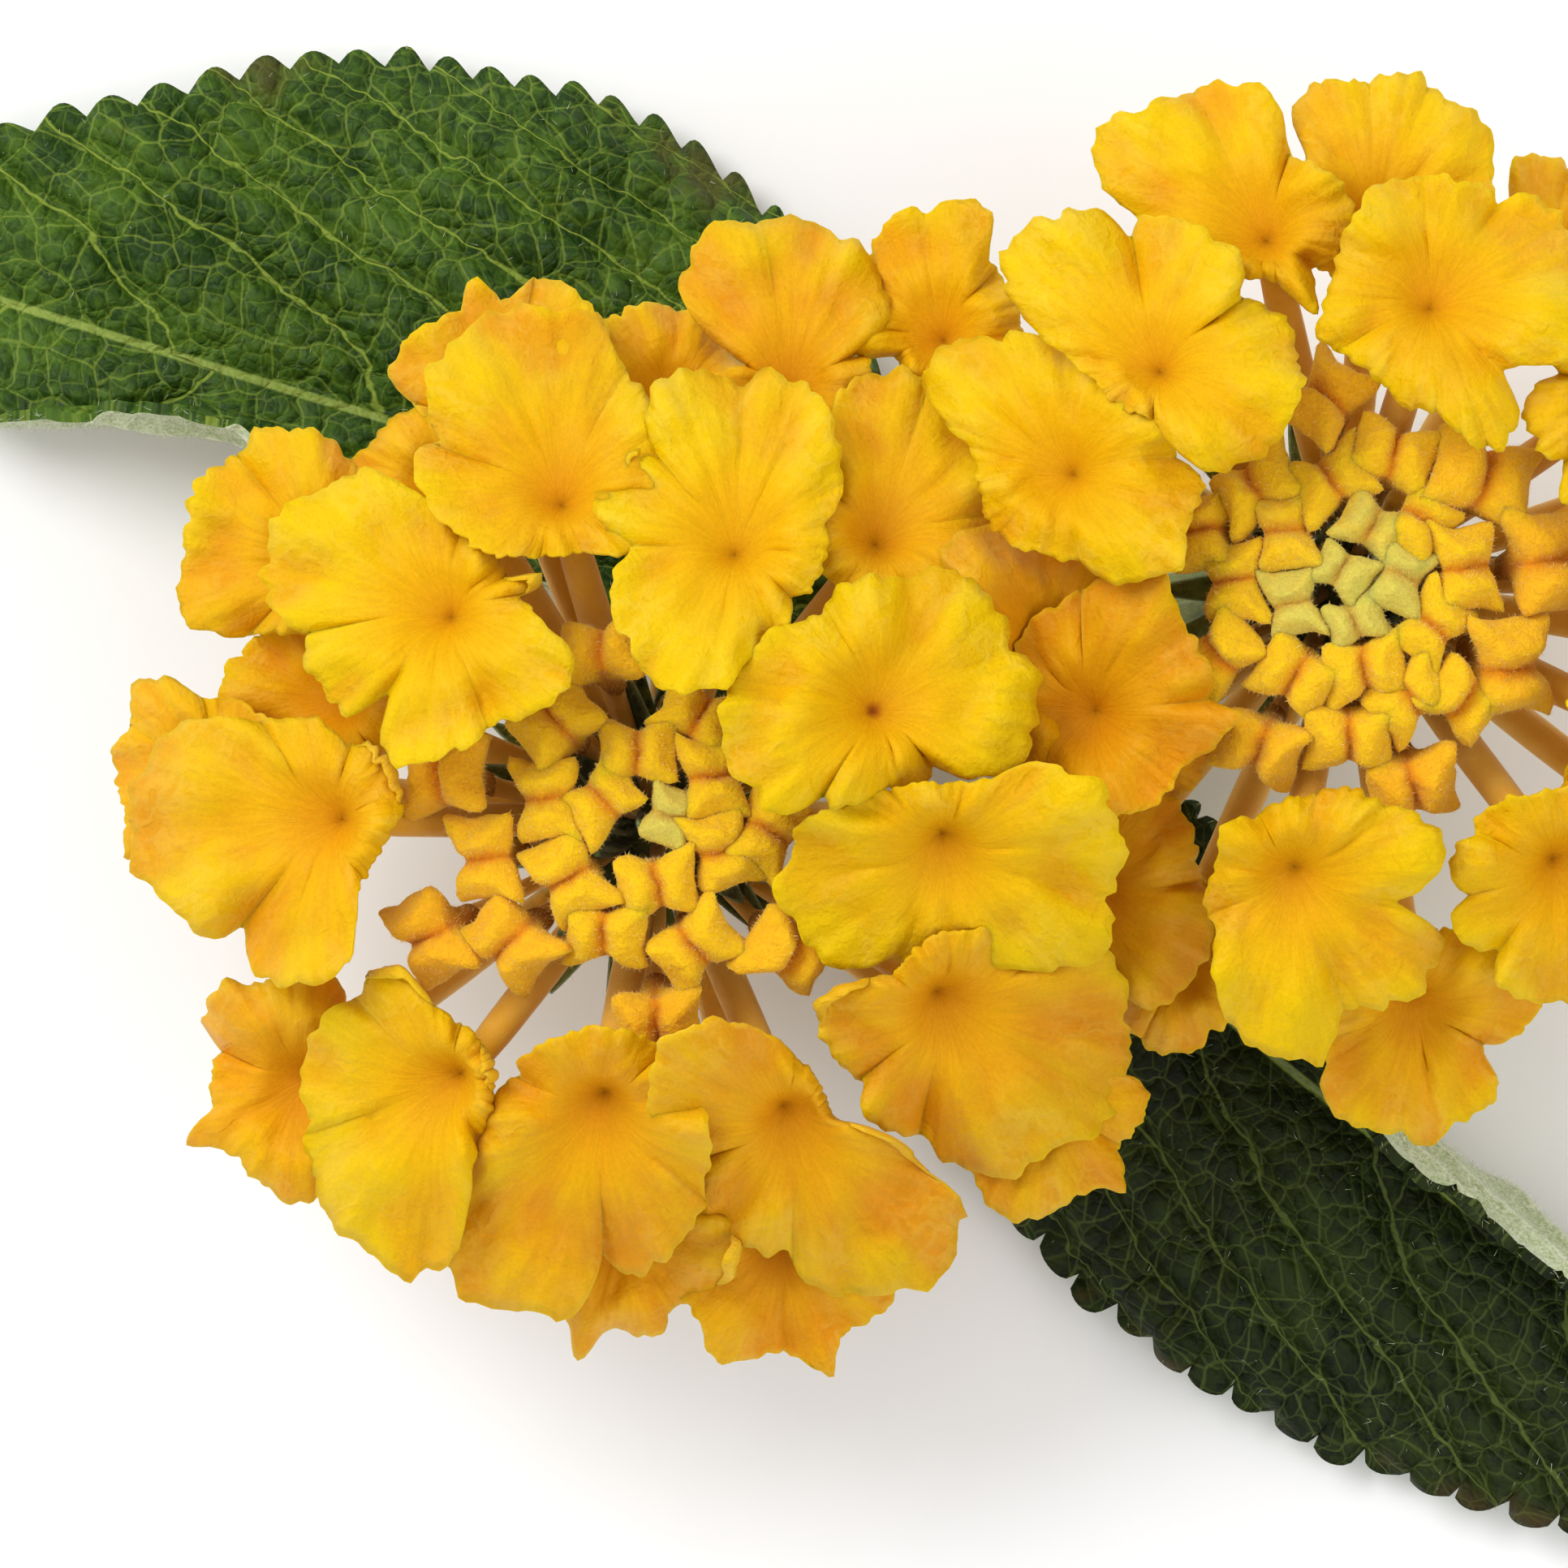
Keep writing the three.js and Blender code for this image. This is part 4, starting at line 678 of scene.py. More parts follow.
def mottle_group(tree):
    """Soft blotches in object space: a mask about 0.5."""
    ins, out = sockets(tree, [("Size", "Float", 1.0), ("Contrast", "Float", 2.0)], [("Mask", "Float")])
    value = noise(tree, object_place(tree), math_of(tree, "DIVIDE", 1000.0, ins["Size"]), 3.0, 0.55)
    tree.links.new(swayed(tree, value, ins["Contrast"], 0.5, clamp=True), out.inputs["Mask"])


def streaks_group(tree):
    """Streaks that run out from a throat, the same all the way round."""
    ins, out = sockets(
        tree,
        [("Direction", "Vector", None), ("Along", "Float", 0.0), ("Count", "Float", 12.0),
         ("Stretch", "Float", 0.3), ("Detail", "Float", 3.0)],
        [("Value", "Float")],
    )
    x, y, z = split(tree, ins["Direction"])
    far = plus(tree, ins["Along"], ins["Stretch"], times(tree, z, 7.0))
    place = vector_of(tree, times(tree, x, ins["Count"]), times(tree, y, ins["Count"]), far)
    tree.links.new(noise(tree, place, 1.0, ins["Detail"], 0.6), out.inputs["Value"])


def crepe_group(tree):
    """Fine crumpled wrinkles of a thin petal at two sizes: thin lines of 0 with soft cushions between."""
    ins, out = sockets(
        tree,
        [("Direction", "Vector", None), ("Along", "Float", 0.0), ("Size", "Float", 0.6)],
        [("Height", "Float")],
    )
    x, y, z = split(tree, ins["Direction"])
    far = math_of(tree, "DIVIDE", ins["Along"], ins["Size"])
    place = vector_of(tree, times(tree, x, far), times(tree, y, far), times(tree, z, 9.0))
    total = 0.0
    for scale, share, twist in ((0.5, 1.0, 0.5), (1.3, 0.5, 0.4)):
        away = math_of(tree, "SUBTRACT", noise(tree, place, scale, 2.0, 0.5, twist), 0.5)
        line = step_of(tree, math_of(tree, "ABSOLUTE", away), 0.0, 0.16)
        total = plus(tree, line, share, total)
    tree.links.new(total, out.inputs["Height"])


def leaf_net_group(tree):
    """Veins of a leaf: side veins, cross veins and a fine net, and the cushions between them."""
    ins, out = sockets(
        tree,
        [("Veins", "Vector", None), ("Flat", "Vector", None), ("Vein Width", "Float", 0.1),
         ("Net Size", "Float", 0.8), ("Spacing", "Float", 6.3)],
        [("Main", "Float"), ("Cross", "Float"), ("Net", "Float"), ("Cushion", "Float"), ("Cell", "Float")],
    )
    place, stretch, _ = split(tree, ins["Veins"])
    u, v, from_rib = split(tree, ins["Flat"])
    # side veins, one for each spacing
    kinks = math_of(tree, "SUBTRACT", noise(tree, ins["Flat"], 1.1, 1.0, 0.5), 0.5)
    place = plus(tree, times(tree, kinks, stretch), 0.6, place)
    near = math_of(tree, "PINGPONG", math_of(tree, "DIVIDE", place, ins["Spacing"]), 0.5)
    near = math_of(tree, "DIVIDE", times(tree, near, ins["Spacing"]), stretch)
    half = times(tree, ins["Vein Width"], step_of(tree, from_rib, 0.0, 12.0, 1.25, 0.6))
    soft = times(tree, half, 0.55)
    main = step_of(tree, near, math_of(tree, "ADD", half, soft), soft)
    # wide many-sided cells between the side veins, a fine net in them and pimples in the net
    wobble = noise(tree, ins["Flat"], 0.55, 2.0, 0.5)
    warped = vector_of(tree, swayed(tree, wobble, 0.9, u), swayed(tree, wobble, -0.9, v), 0.0)
    fine = math_of(tree, "DIVIDE", 1.0, ins["Net Size"])

    def cells(finer, randomness, feature="DISTANCE_TO_EDGE"):
        values = {"Vector": warped, "Scale": times(tree, fine, finer), "Randomness": randomness}
        return add(tree, "ShaderNodeTexVoronoi", values, feature=feature, voronoi_dimensions="2D").outputs

    wide = cells(0.5, 0.85)["Distance"]
    edge = cells(1.0, 0.8)["Distance"]
    small = cells(2.3, 0.9)["Distance"]
    # cushions: low at every vein, pimpled by the smallest cells
    cushion = step_of(tree, math_of(tree, "MINIMUM", near, times(tree, wide, 1.6)), 0.0, 0.5)
    cushion = plus(tree, step_of(tree, edge, 0.0, 0.3), 0.28, times(tree, cushion, 0.6))
    cushion = plus(tree, step_of(tree, small, 0.0, 0.3), 0.12, cushion)
    results = {
        "Main": main,
        "Cross": step_of(tree, wide, 0.040, 0.014),
        "Net": step_of(tree, edge, 0.065, 0.02),
        "Cushion": cushion,
        "Cell": split(tree, cells(2.3, 0.9, "F1")["Color"])[0],
    }
    for label, value in results.items():
        tree.links.new(value, out.inputs[label])


SHARED = {"Mottle": mottle_group, "Streaks": streaks_group, "Crepe": crepe_group, "Leaf net": leaf_net_group}


# ---- finishes ----


def limb_finish():
    """The open petals: orange at the throat, golden to lemon outside, with fine folds running outwards;
    painted shade deepens the folds and the mouth, and painted highlights lie on the crests of the wrinkles.
    """
    look = bpy.context.scene.lantana_petals

    def build(tree):
        reach, share, tint = split(tree, attribute(tree, "petal")[0])
        under = attribute(tree, "under")[1]
        hollow = attribute(tree, "hollow")[1]
        values = {"Direction": attribute(tree, "streak")[0], "Along": reach}
        broad = grouped(tree, "Streaks", {**values, "Count": 3.2, "Stretch": 0.25, "Detail": 2.0})[0]
        fine = grouped(tree, "Streaks", {**values, "Count": 15.0, "Stretch": 0.9, "Detail": 4.0})[0]
        crepe = grouped(tree, "Crepe", {**values, "Size": look.crepe_size / MM})[0]
        blotch = grouped(tree, "Mottle", {"Size": 2.4, "Contrast": 2.0})[0]
        grain = noise(tree, object_place(tree), 9000.0, 2.0, 0.6)
        # lemon to orange by the floret's own tint, and a deeper orange in the folds as painted shade
        warm = plus(tree, hollow, 0.2, swayed(tree, broad, 0.9, swayed(tree, blotch, 0.3, tint)))
        base = mixed(tree, step_of(tree, warm, 0.0, 1.0), look.edge_colour, look.aged_colour)
        # warmer towards the throat
        golden = step_of(tree, plus(tree, broad, 1.6, reach), 4.6, 1.7)
        base = over(tree, base, look.middle_colour, golden, 0.7)
        deep = plus(tree, blotch, 0.9, plus(tree, broad, 1.1, reach))
        deep = step_of(tree, plus(tree, tint, -0.9, deep), 2.3, 0.6, 0.0, 0.62)
        base = over(tree, base, look.throat_colour, deep)
        # painted shade: the throat's orange laid into the hollow folds
        base = over(tree, base, look.throat_colour, step_of(tree, hollow, 0.15, 1.0), 0.26)
        # painted shade: the mouth of the throat darkened, as far as the floret's spot asks
        throat_shade_mask = step_of(tree, plus(tree, fine, 0.2, reach), 0.5, 0.2)
        base = over(tree, base, look.painted_throat_shade_colour, throat_shade_mask, attribute(tree, "spot")[1])
        # paler rim and underside
        base = over(tree, base, look.rim_colour, step_of(tree, share, 0.93, 1.0), 0.35)
        base = over(tree, base, look.under_colour, under, 0.55)
        # fine lines and grain, and painted highlights on the pale crests of the wrinkles towards the edge
        lines = step_of(tree, fine, 0.3, 0.75, 0.92, 1.03)
        base = shaded(tree, base, times(tree, lines, step_of(tree, grain, 0.3, 0.7, 0.955, 1.03)))
        crest_highlight_mask = times(tree, step_of(tree, share, 0.35, 0.85), step_of(tree, broad, 0.4, 0.62))
        base = over(tree, base, look.painted_crest_highlight_colour, crest_highlight_mask, step_of(tree, crepe, 1.3, 0.0, 0.0, 0.16))
        height = plus(tree, fine, 0.7, times(tree, grain, 0.2))
        height = plus(tree, crepe, step_of(tree, share, 0.25, 0.8, -0.1, -0.4), height)
        return {
            "Base Color": base,
            "Roughness": step_of(tree, blotch, 0.2, 0.8, 0.42, 0.56),
            "Normal": bumped(tree, height, look.fold_depth / MM),
        }

    return finish_of(
        "Lantana petal", build, subsurface=0.35, depth=0.5, tint=(1.0, 0.62, 0.15),
        Specular_IOR_Level=0.07,
    )


def tube_finish():
    """Floret and bud tubes: dull orange, greener towards the root and darker there as painted shade deep
    under the head.
    """
    look = bpy.context.scene.lantana_petals

    def build(tree):
        blotch = grouped(tree, "Mottle", {"Size": 0.9, "Contrast": 1.8})[0]
        place = swayed(tree, blotch, 0.2, attribute(tree, "share")[1])
        base = mixed(tree, step_of(tree, place, 0.45, 1.0), look.tube_colour, look.middle_colour)
        # the root colour is partly the tube's own green and partly painted shade under the head
        base = over(tree, base, look.root_green_and_shade_colour, step_of(tree, place, 0.35, 0.05))
        return {
            "Base Color": base,
            "Roughness": step_of(tree, blotch, 0.0, 1.0, 0.5, 0.65),
            "Normal": bumped(tree, noise(tree, object_place(tree), 16000.0, 2.0, 0.6), 0.03),
        }

    return finish_of(
        "Lantana tube", build, subsurface=0.25, depth=0.4, tint=(1.0, 0.5, 0.15),
        Sheen_Weight=0.25, Sheen_Roughness=0.4, Specular_IOR_Level=0.25,
    )


def bud_finish():
    """Velvety closed buds: golden, with painted shade of deeper orange in the crease and darker at the neck,
    greenish in the middle of a head.
    """
    look = bpy.context.scene.lantana_buds

    def build(tree):
        crease, share, _ = split(tree, attribute(tree, "bud")[0])
        blotch = grouped(tree, "Mottle", {"Size": 0.7, "Contrast": 1.5})[0]
        age = swayed(tree, blotch, 0.3, attribute(tree, "age")[1])
        base = mixed(tree, step_of(tree, age, 0.0, 0.42), look.young_colour, look.ripe_colour)
        base = over(tree, base, look.old_colour, step_of(tree, age, 0.5, 1.0))
        # painted shade: deeper orange in the crease between the pads
        base = over(tree, base, look.painted_crease_shade_colour, crease, step_of(tree, age, 0.0, 0.5, 0.35, 0.8))
        # painted shade: darker at the neck under the pads
        base = over(tree, base, look.painted_neck_shade_colour, step_of(tree, share, 1.05, 1.8))
        fuzz = noise(tree, object_place(tree), 8000.0, 3.0, 0.7)
        soft = noise(tree, object_place(tree), 2600.0, 2.0, 0.5)
        tone = step_of(tree, fuzz, 0.3, 0.7, 0.93, 1.08)
        return {
            "Base Color": shaded(tree, base, times(tree, tone, step_of(tree, soft, 0.3, 0.7, 0.96, 1.04))),
            "Roughness": step_of(tree, fuzz, 0.2, 0.8, 0.6, 0.8),
            "Normal": bumped(tree, plus(tree, fuzz, 0.8, soft), 0.15),
        }

    return finish_of(
        "Lantana bud velvet", build, subsurface=0.4, depth=0.6, tint=(1.0, 0.55, 0.15),
        Sheen_Weight=0.35, Sheen_Roughness=0.4, Sheen_Tint=(1.0, 0.75, 0.25, 1.0),
        Specular_IOR_Level=0.1,
    )


def down_finish(name, tone):
    """Fine hairs on buds, bracts, stalks and the rolled part of a leaf."""

    def build(tree):
        blotch = grouped(tree, "Mottle", {"Size": 0.6, "Contrast": 1.4})[0]
        return {"Base Color": mixed(tree, blotch, [part * 0.75 for part in tone], tone)}

    return finish_of(name, build, Roughness=0.45, Sheen_Weight=0.2, Specular_IOR_Level=0.35)


def leaf_net(tree, look, wider=1.0):
    """The net of a leaf's veins, with side veins some times as wide."""
    values = {
        "Veins": attribute(tree, "veins")[0],
        "Flat": attribute(tree, "flat")[0],
        "Vein Width": look.vein_width / MM * wider,
        "Net Size": look.net_size / MM,
        "Spacing": look.vein_spacing / MM,
    }
    return grouped(tree, "Leaf net", values)


def blade_finish(name, cell, dark, vein, roughness, net_share):
    """Upper face of a leaf: raised cushions between sunken paler veins."""
    look = bpy.context.scene.lantana_leaves
    rib_width = look.rib_width / MM

    def build(tree):
        net = leaf_net(tree, look)
        blotch = grouped(tree, "Mottle", {"Size": 3.2, "Contrast": 2.2})[0]
        speck = grouped(tree, "Mottle", {"Size": 0.35, "Contrast": 2.6})[0]
        tone = swayed(tree, speck, 0.45, plus(tree, net["Cell"], 0.35, times(tree, blotch, 0.65)))
        base = mixed(tree, step_of(tree, tone, 0.15, 0.85), dark, cell)
        base = over(tree, base, dark, step_of(tree, net["Cushion"], 0.35, 0.95, 0.0, 0.3))
        for part, share in (("Net", net_share), ("Cross", 0.42), ("Main", 0.84)):
            base = over(tree, base, vein, net[part], share)
        from_rib = split(tree, attribute(tree, "flat")[0])[2]
        rib = step_of(tree, from_rib, rib_width * 0.75, rib_width * 0.35)
        base = over(tree, base, look.rib_colour, rib, 0.9)
        # dry brown tips on the teeth
        dry = times(tree, attribute(tree, "edge")[1], step_of(tree, blotch, 0.52, 0.8))
        base = over(tree, base, look.dry_colour, dry, look.dry_edge)
        height = plus(tree, net["Cushion"], 1.0, times(tree, speck, 0.10))
        height = plus(tree, net["Main"], -0.25, height)
        return {
            "Base Color": base,
            "Roughness": plus(tree, speck, 0.2, roughness, clamp=True),
            "Normal": bumped(tree, height, look.cushion_height / MM),
        }

    return finish_of(
        name, build, subsurface=0.06, depth=0.4, tint=(0.5, 1.0, 0.25), Specular_IOR_Level=0.14,
    )


def under_leaf_finish():
    """Under face of a leaf: pale, downy, with the net of veins raised."""
    look = bpy.context.scene.lantana_leaves

    def build(tree):
        net = leaf_net(tree, look, 1.5)
        down = noise(tree, object_place(tree), 9000.0, 3.0, 0.7)
        base = mixed(tree, step_of(tree, down, 0.3, 0.75), look.under_colour, look.down_colour)
        base = over(tree, base, look.down_colour, net["Main"], 0.7)
        base = over(tree, base, look.down_colour, net["Cross"], 0.4)
        height = plus(tree, net["Cushion"], -1.0, times(tree, down, 0.5))
        return {
            "Base Color": base,
            "Roughness": step_of(tree, down, 0.2, 0.8, 0.6, 0.8),
            "Normal": bumped(tree, height, 0.1),
        }

    return finish_of(
        "Leaf underside", build, subsurface=0.1, depth=0.4, tint=(0.6, 1.0, 0.3),
        Sheen_Weight=0.5, Sheen_Roughness=0.4, Specular_IOR_Level=0.3,
    )


def green_finish(name, light, dark, size):
    """Stem, stalks and bracts: ribbed green with paler lines and a downy grain."""

    def build(tree):
        blotch = grouped(tree, "Mottle", {"Size": size, "Contrast": 2.4})[0]
        down = noise(tree, object_place(tree), 8000.0, 3.0, 0.65)
        tone = swayed(tree, down, 0.4, blotch)
        base = mixed(tree, step_of(tree, tone, 0.2, 0.8), dark, light)
        return {
            "Base Color": over(tree, base, light, attribute(tree, "ridge")[1], 0.6),
            "Roughness": step_of(tree, down, 0.2, 0.8, 0.45, 0.7),
            "Normal": bumped(tree, down, 0.05),
        }

    return finish_of(
        name, build, subsurface=0.08, depth=0.4, tint=(0.6, 1.0, 0.3),
        Sheen_Weight=0.2, Specular_IOR_Level=0.35,
    )


# ---- geometry node trees ----


def tree_for(name, ins):
    """A geometry tree with named inputs; returns the tree, its inputs and its output node."""
    old = bpy.data.node_groups.get(name)
    if old is not None:
        bpy.data.node_groups.remove(old)
    tree = bpy.data.node_groups.new(name, "GeometryNodeTree")
    return (tree, *sockets(tree, [("Geometry", "Geometry", None), *ins], [("Geometry", "Geometry")]))


def grown(host, tree, values, name):
    """Runs a geometry tree on a host and returns its result as a plain piece; the host is removed."""
    modifier = host.modifiers.new(tree.name, "NODES")
    modifier.node_group = tree
    for socket in tree.interface.items_tree:
        if socket.in_out == "INPUT" and socket.name in values:
            modifier[socket.identifier] = values[socket.name]
    view = bpy.context.evaluated_depsgraph_get()
    result = host.evaluated_get(view)
    mesh = bpy.data.meshes.new_from_object(result, preserve_all_data_layers=True, depsgraph=view)
    host.modifiers.remove(modifier)
    mesh.name = name
    piece = placed(name, mesh)
    bpy.data.objects.remove(host)
    if len(mesh.polygons) == 0:
        raise RuntimeError(f"{name} came out empty")
    return piece


def named(tree, label, kind="FLOAT"):
    """A value stored on the points, in a geometry tree."""
    node = add(tree, "GeometryNodeInputNamedAttribute", {"Name": label}, data_type=kind)
    return node.outputs["Attribute"]


def ended(tree, ins, out, geometry):
    """Ends a geometry tree: what it made gets the material."""
    values = {"Geometry": geometry, "Material": ins["Material"]}
    tree.links.new(made(tree, "GeometryNodeSetMaterial", values), out.inputs[0])
    return tree


def rod_tree():
    """Rods along paths: each path's points carry their own radius as girth."""
    tree, ins, out = tree_for("Rods on paths", [("Sides", "Int", 14), ("Material", "Material", None)])
    lines = made(tree, "GeometryNodeMeshToCurve", {"Mesh": ins["Geometry"]})
    ring = made(tree, "GeometryNodeCurvePrimitiveCircle", {"Resolution": ins["Sides"], "Radius": 1.0})
    values = {"Curve": lines, "Profile Curve": ring, "Scale": named(tree, "girth"), "Fill Caps": True}
    rods = made(tree, "GeometryNodeCurveToMesh", values)
    smooth = made(tree, "GeometryNodeSetShadeSmooth", {"Geometry": rods})
    return ended(tree, ins, out, made(tree, "GeometryNodeRealizeInstances", {"Geometry": smooth}))


def copies_tree():
    """A copy of one form on each point, turned and sized by the point's own values."""
    tree, ins, out = tree_for(
        "Copies on points",
        [("Form", "Object", None), ("Uneven", "Float", 0.0), ("Material", "Material", None)],
    )
    values = {
        "Points": made(tree, "GeometryNodeMeshToPoints", {"Mesh": ins["Geometry"]}),
        "Instance": add(tree, "GeometryNodeObjectInfo", {"Object": ins["Form"]}).outputs["Geometry"],
        "Rotation": made(tree, "FunctionNodeEulerToRotation", {0: named(tree, "turn", "FLOAT_VECTOR")}),
        "Scale": named(tree, "grown", "FLOAT_VECTOR"),
    }
    copies = made(tree, "GeometryNodeInstanceOnPoints", values)
    real = made(tree, "GeometryNodeRealizeInstances", {"Geometry": copies})
    # each copy is dented in its own way
    place = made(tree, "GeometryNodeInputPosition")
    dents = add(tree, "ShaderNodeTexNoise", {"Vector": place, "Scale": 800.0, "Detail": 2.0}).outputs["Color"]
    dents = made(tree, "ShaderNodeVectorMath", {0: dents, 1: (0.5, 0.5, 0.5)}, operation="SUBTRACT")
    dents = made(tree, "ShaderNodeVectorMath", {0: dents, 3: ins["Uneven"]}, operation="SCALE")
    real = made(tree, "GeometryNodeSetPosition", {"Geometry": real, "Offset": dents})
    return ended(tree, ins, out, made(tree, "GeometryNodeSetShadeSmooth", {"Geometry": real}))


def down_tree():
    """Short tapering hairs scattered on a surface where its downy value allows."""
    tree, ins, out = tree_for(
        "Down on a surface",
        [("Density", "Float", 1.0e6), ("Length", "Float", 0.0002), ("Girth", "Float", 0.00001),
         ("Spread", "Float", 0.5), ("Seed", "Int", 1), ("Material", "Material", None)],
    )
    density = times(tree, ins["Density"], named(tree, "downy"))
    values = {"Mesh": ins["Geometry"], "Density": density, "Seed": ins["Seed"]}
    spots = add(tree, "GeometryNodeDistributePointsOnFaces", values, distribute_method="RANDOM").outputs
    cone = {
        "Vertices": 3, "Side Segments": 1, "Fill Segments": 1, "Radius Top": 0.0,
        "Radius Bottom": ins["Girth"], "Depth": ins["Length"],
    }
    tilt = {0: (-1.0, -1.0, -1.0), 1: (1.0, 1.0, 1.0), "Seed": ins["Seed"]}
    tilt = made(tree, "FunctionNodeRandomValue", tilt, data_type="FLOAT_VECTOR")
    tilt = made(tree, "ShaderNodeVectorMath", {0: tilt, 3: ins["Spread"]}, operation="SCALE")
    turn = {0: spots["Rotation"], 1: made(tree, "FunctionNodeEulerToRotation", {0: tilt})}
    size = {2: 0.5, 3: 1.2, "Seed": ins["Seed"]}
    values = {
        "Points": spots["Points"],
        "Instance": made(tree, "GeometryNodeMeshCone", cone, fill_type="NGON"),
        "Rotation": made(tree, "FunctionNodeRotateRotation", turn, rotation_space="LOCAL"),
        "Scale": add(tree, "FunctionNodeRandomValue", size, data_type="FLOAT").outputs[1],
    }
    copies = made(tree, "GeometryNodeInstanceOnPoints", values)
    return ended(tree, ins, out, made(tree, "GeometryNodeRealizeInstances", {"Geometry": copies}))


# ---- open florets ----

THROAT_RADII = (0.06, 0.15, 0.27, 0.5, 0.85)  # inner rings of a limb
THROAT_DEPTHS = (-1.14, -1.10, -1.02, -0.88, -0.68)
THROAT_FOOT = (0.58, 0.45, 0.23, 0.05, 0.0)  # thickness that the underside gains there
THROAT_FALL = 1.45  # depth of the funnel, and the radius over which it flattens
THROAT_SPAN = 1.15
LIMB_RINGS = 11
SPUR_HALF_WIDTH = 9  # degrees; a lobe this narrow or less is a pointed spur
LEAST_REACH = 1.3
EDGE_ROLL = 0.32  # radius of a rolled edge of the full height
MOST_BENT = 0.95 * math.pi
SWELL, EDGE_DROP = 0.30, 0.14  # how far a limb swells up halfway out and turns down at its edge
LOBE_RISE, LOBE_FALL, LOBE_TWIST, LOBE_CREASE = 0.44, 0.30, 0.42, 0.20
NOTCH_DROP, LOBE_DIP, DIMPLE_DEPTH = 0.28, 0.52, 0.30
THINNING = 0.62  # share of its thickness that a petal loses towards the edge
HOLLOW_DEPTH = 0.5  # a fold this deep counts as fully hollow


def degrees_from(azimuth, place):
    """Signed distance in degrees from a place on a circle."""
    return (azimuth - place + 540) % 360 - 180


def limb_cuts(row):
    """The cuts between the petals of a limb: [azimuth, reach at the bottom of the cut, width]."""
    if "cuts" in row:
        return row["cuts"]
    lobes = sorted(row["lobes"], key=lambda lobe: lobe[0] % 360)
    found = []
    for first, second in zip(lobes, lobes[1:] + lobes[:1]):
        spacing = (second[0] - first[0]) % 360
        gap = spacing - first[2] - second[2]
        place = first[0] + min(max(first[2] + gap / 2, 0.3 * spacing), 0.7 * spacing)
        depth = min(0.34, max(0.06, 0.10 + 0.012 * gap))
        found.append((gap, [place % 360, min(first[1], second[1]) * (1 - depth), 3.5 + 0.35 * max(gap, 0)]))
    found.sort(key=lambda item: -item[0])
    return [cut for _, cut in found[:5]]


def lobed_reach(lobes, cuts, azimuth):
    """Reach, curl and notches of a limb that is given by its lobes."""
    reach, total, curl, valley = np.zeros((4, len(azimuth)))
    for lobe in lobes:
        if lobe[2] <= SPUR_HALF_WIDTH:
            continue
        t = degrees_from(azimuth, lobe[0]) / lobe[2]
        weight = np.exp(-((t / 0.85) ** 2)) + 1e-4 / (1 + t * t)
        reach += weight * max(lobe[1], 2.5)
        total += weight
        if len(lobe) > 3:
            curl = np.maximum(curl, lobe[3] * (1 - np.minimum(1, np.abs(t)) ** 2))
    reach /= total
    for place, inner, width in cuts:
        t = np.abs(degrees_from(azimuth, place)) / width
        depth = np.clip(reach - inner, 0, None)
        valley = np.maximum(valley, np.exp(-((t / 1.8) ** 2)) * np.clip(depth / reach * 2.5, 0, 1))
        reach = reach - depth * np.exp(-(t ** 1.5))
    for lobe in lobes:
        if lobe[2] <= SPUR_HALF_WIDTH:
            t = np.abs(degrees_from(azimuth, lobe[0])) / lobe[2]
            reach = np.maximum(reach, reach + (lobe[1] - reach) * np.exp(-((t / 0.8) ** 1.3)))
    return reach, curl, valley


def outlined_reach(row, azimuth):
    """Reach, curl and notches of a limb that is given by its outline."""
    curl, valley = np.zeros((2, len(azimuth)))
    reach = np.interp(azimuth, row["outline"][::2], row["outline"][1::2], period=360)
    for place in row["splits"]:
        valley = np.maximum(valley, 0.7 * np.exp(-((degrees_from(azimuth, place) / 5 / 1.6) ** 2)))
    for place, half, height in row.get("curls", ()):
        t = degrees_from(azimuth, place) / half
        curl = np.maximum(curl, height * (1 - np.minimum(1, np.abs(t)) ** 2))
    return reach, curl, valley


def lobe_fields(row, azimuth, chance):
    """Reach of a limb at each azimuth, and how each petal bends, twists and curls there."""
    if "outline" in row:
        places = np.array(row["splits"])
        reach, curl, valley = outlined_reach(row, azimuth)
    else:
        cuts = sorted(limb_cuts(row), key=lambda cut: cut[0])
        places = np.array([cut[0] for cut in cuts])
        reach, curl, valley = lobed_reach(row["lobes"], cuts, azimuth)
    fields = {"reach": reach, "curl": curl, "notch": valley}
    which = np.searchsorted(places, azimuth, side="right") % len(places)
    start = places[which - 1]
    span = (places[which] - start) % 360
    span = np.where(span == 0, 360, span)
    t = ((azimuth - start) % 360) / span * 2 - 1
    across = np.clip(span / 72, 0.3, 1.5)

    def per_petal(low, high):
        return np.array([chance.uniform(low, high) for _ in places])[which]

    fields["twist"] = per_petal(-1, 1) * t * np.sqrt(across)
    fields["bow"] = per_petal(0.35, 1) * (1 - np.abs(t) ** 2.2) * across
    line = (t - per_petal(-0.35, 0.35)) * span / 2
    fields["crease"] = np.maximum(per_petal(-0.5, 1), 0) * np.exp(-((line / 4.5) ** 2))
    dip = per_petal(-1, 1)
    fields["dip"] = np.convolve(np.concatenate([dip[-4:], dip, dip[:4]]), np.ones(9) / 9, "valid")
    return fields


def waves(a, phases, rows):
    """Sum of waves round a limb from (count, size) rows."""
    return sum(size * np.sin(count * a + phase) for (count, size), phase in zip(rows, phases))


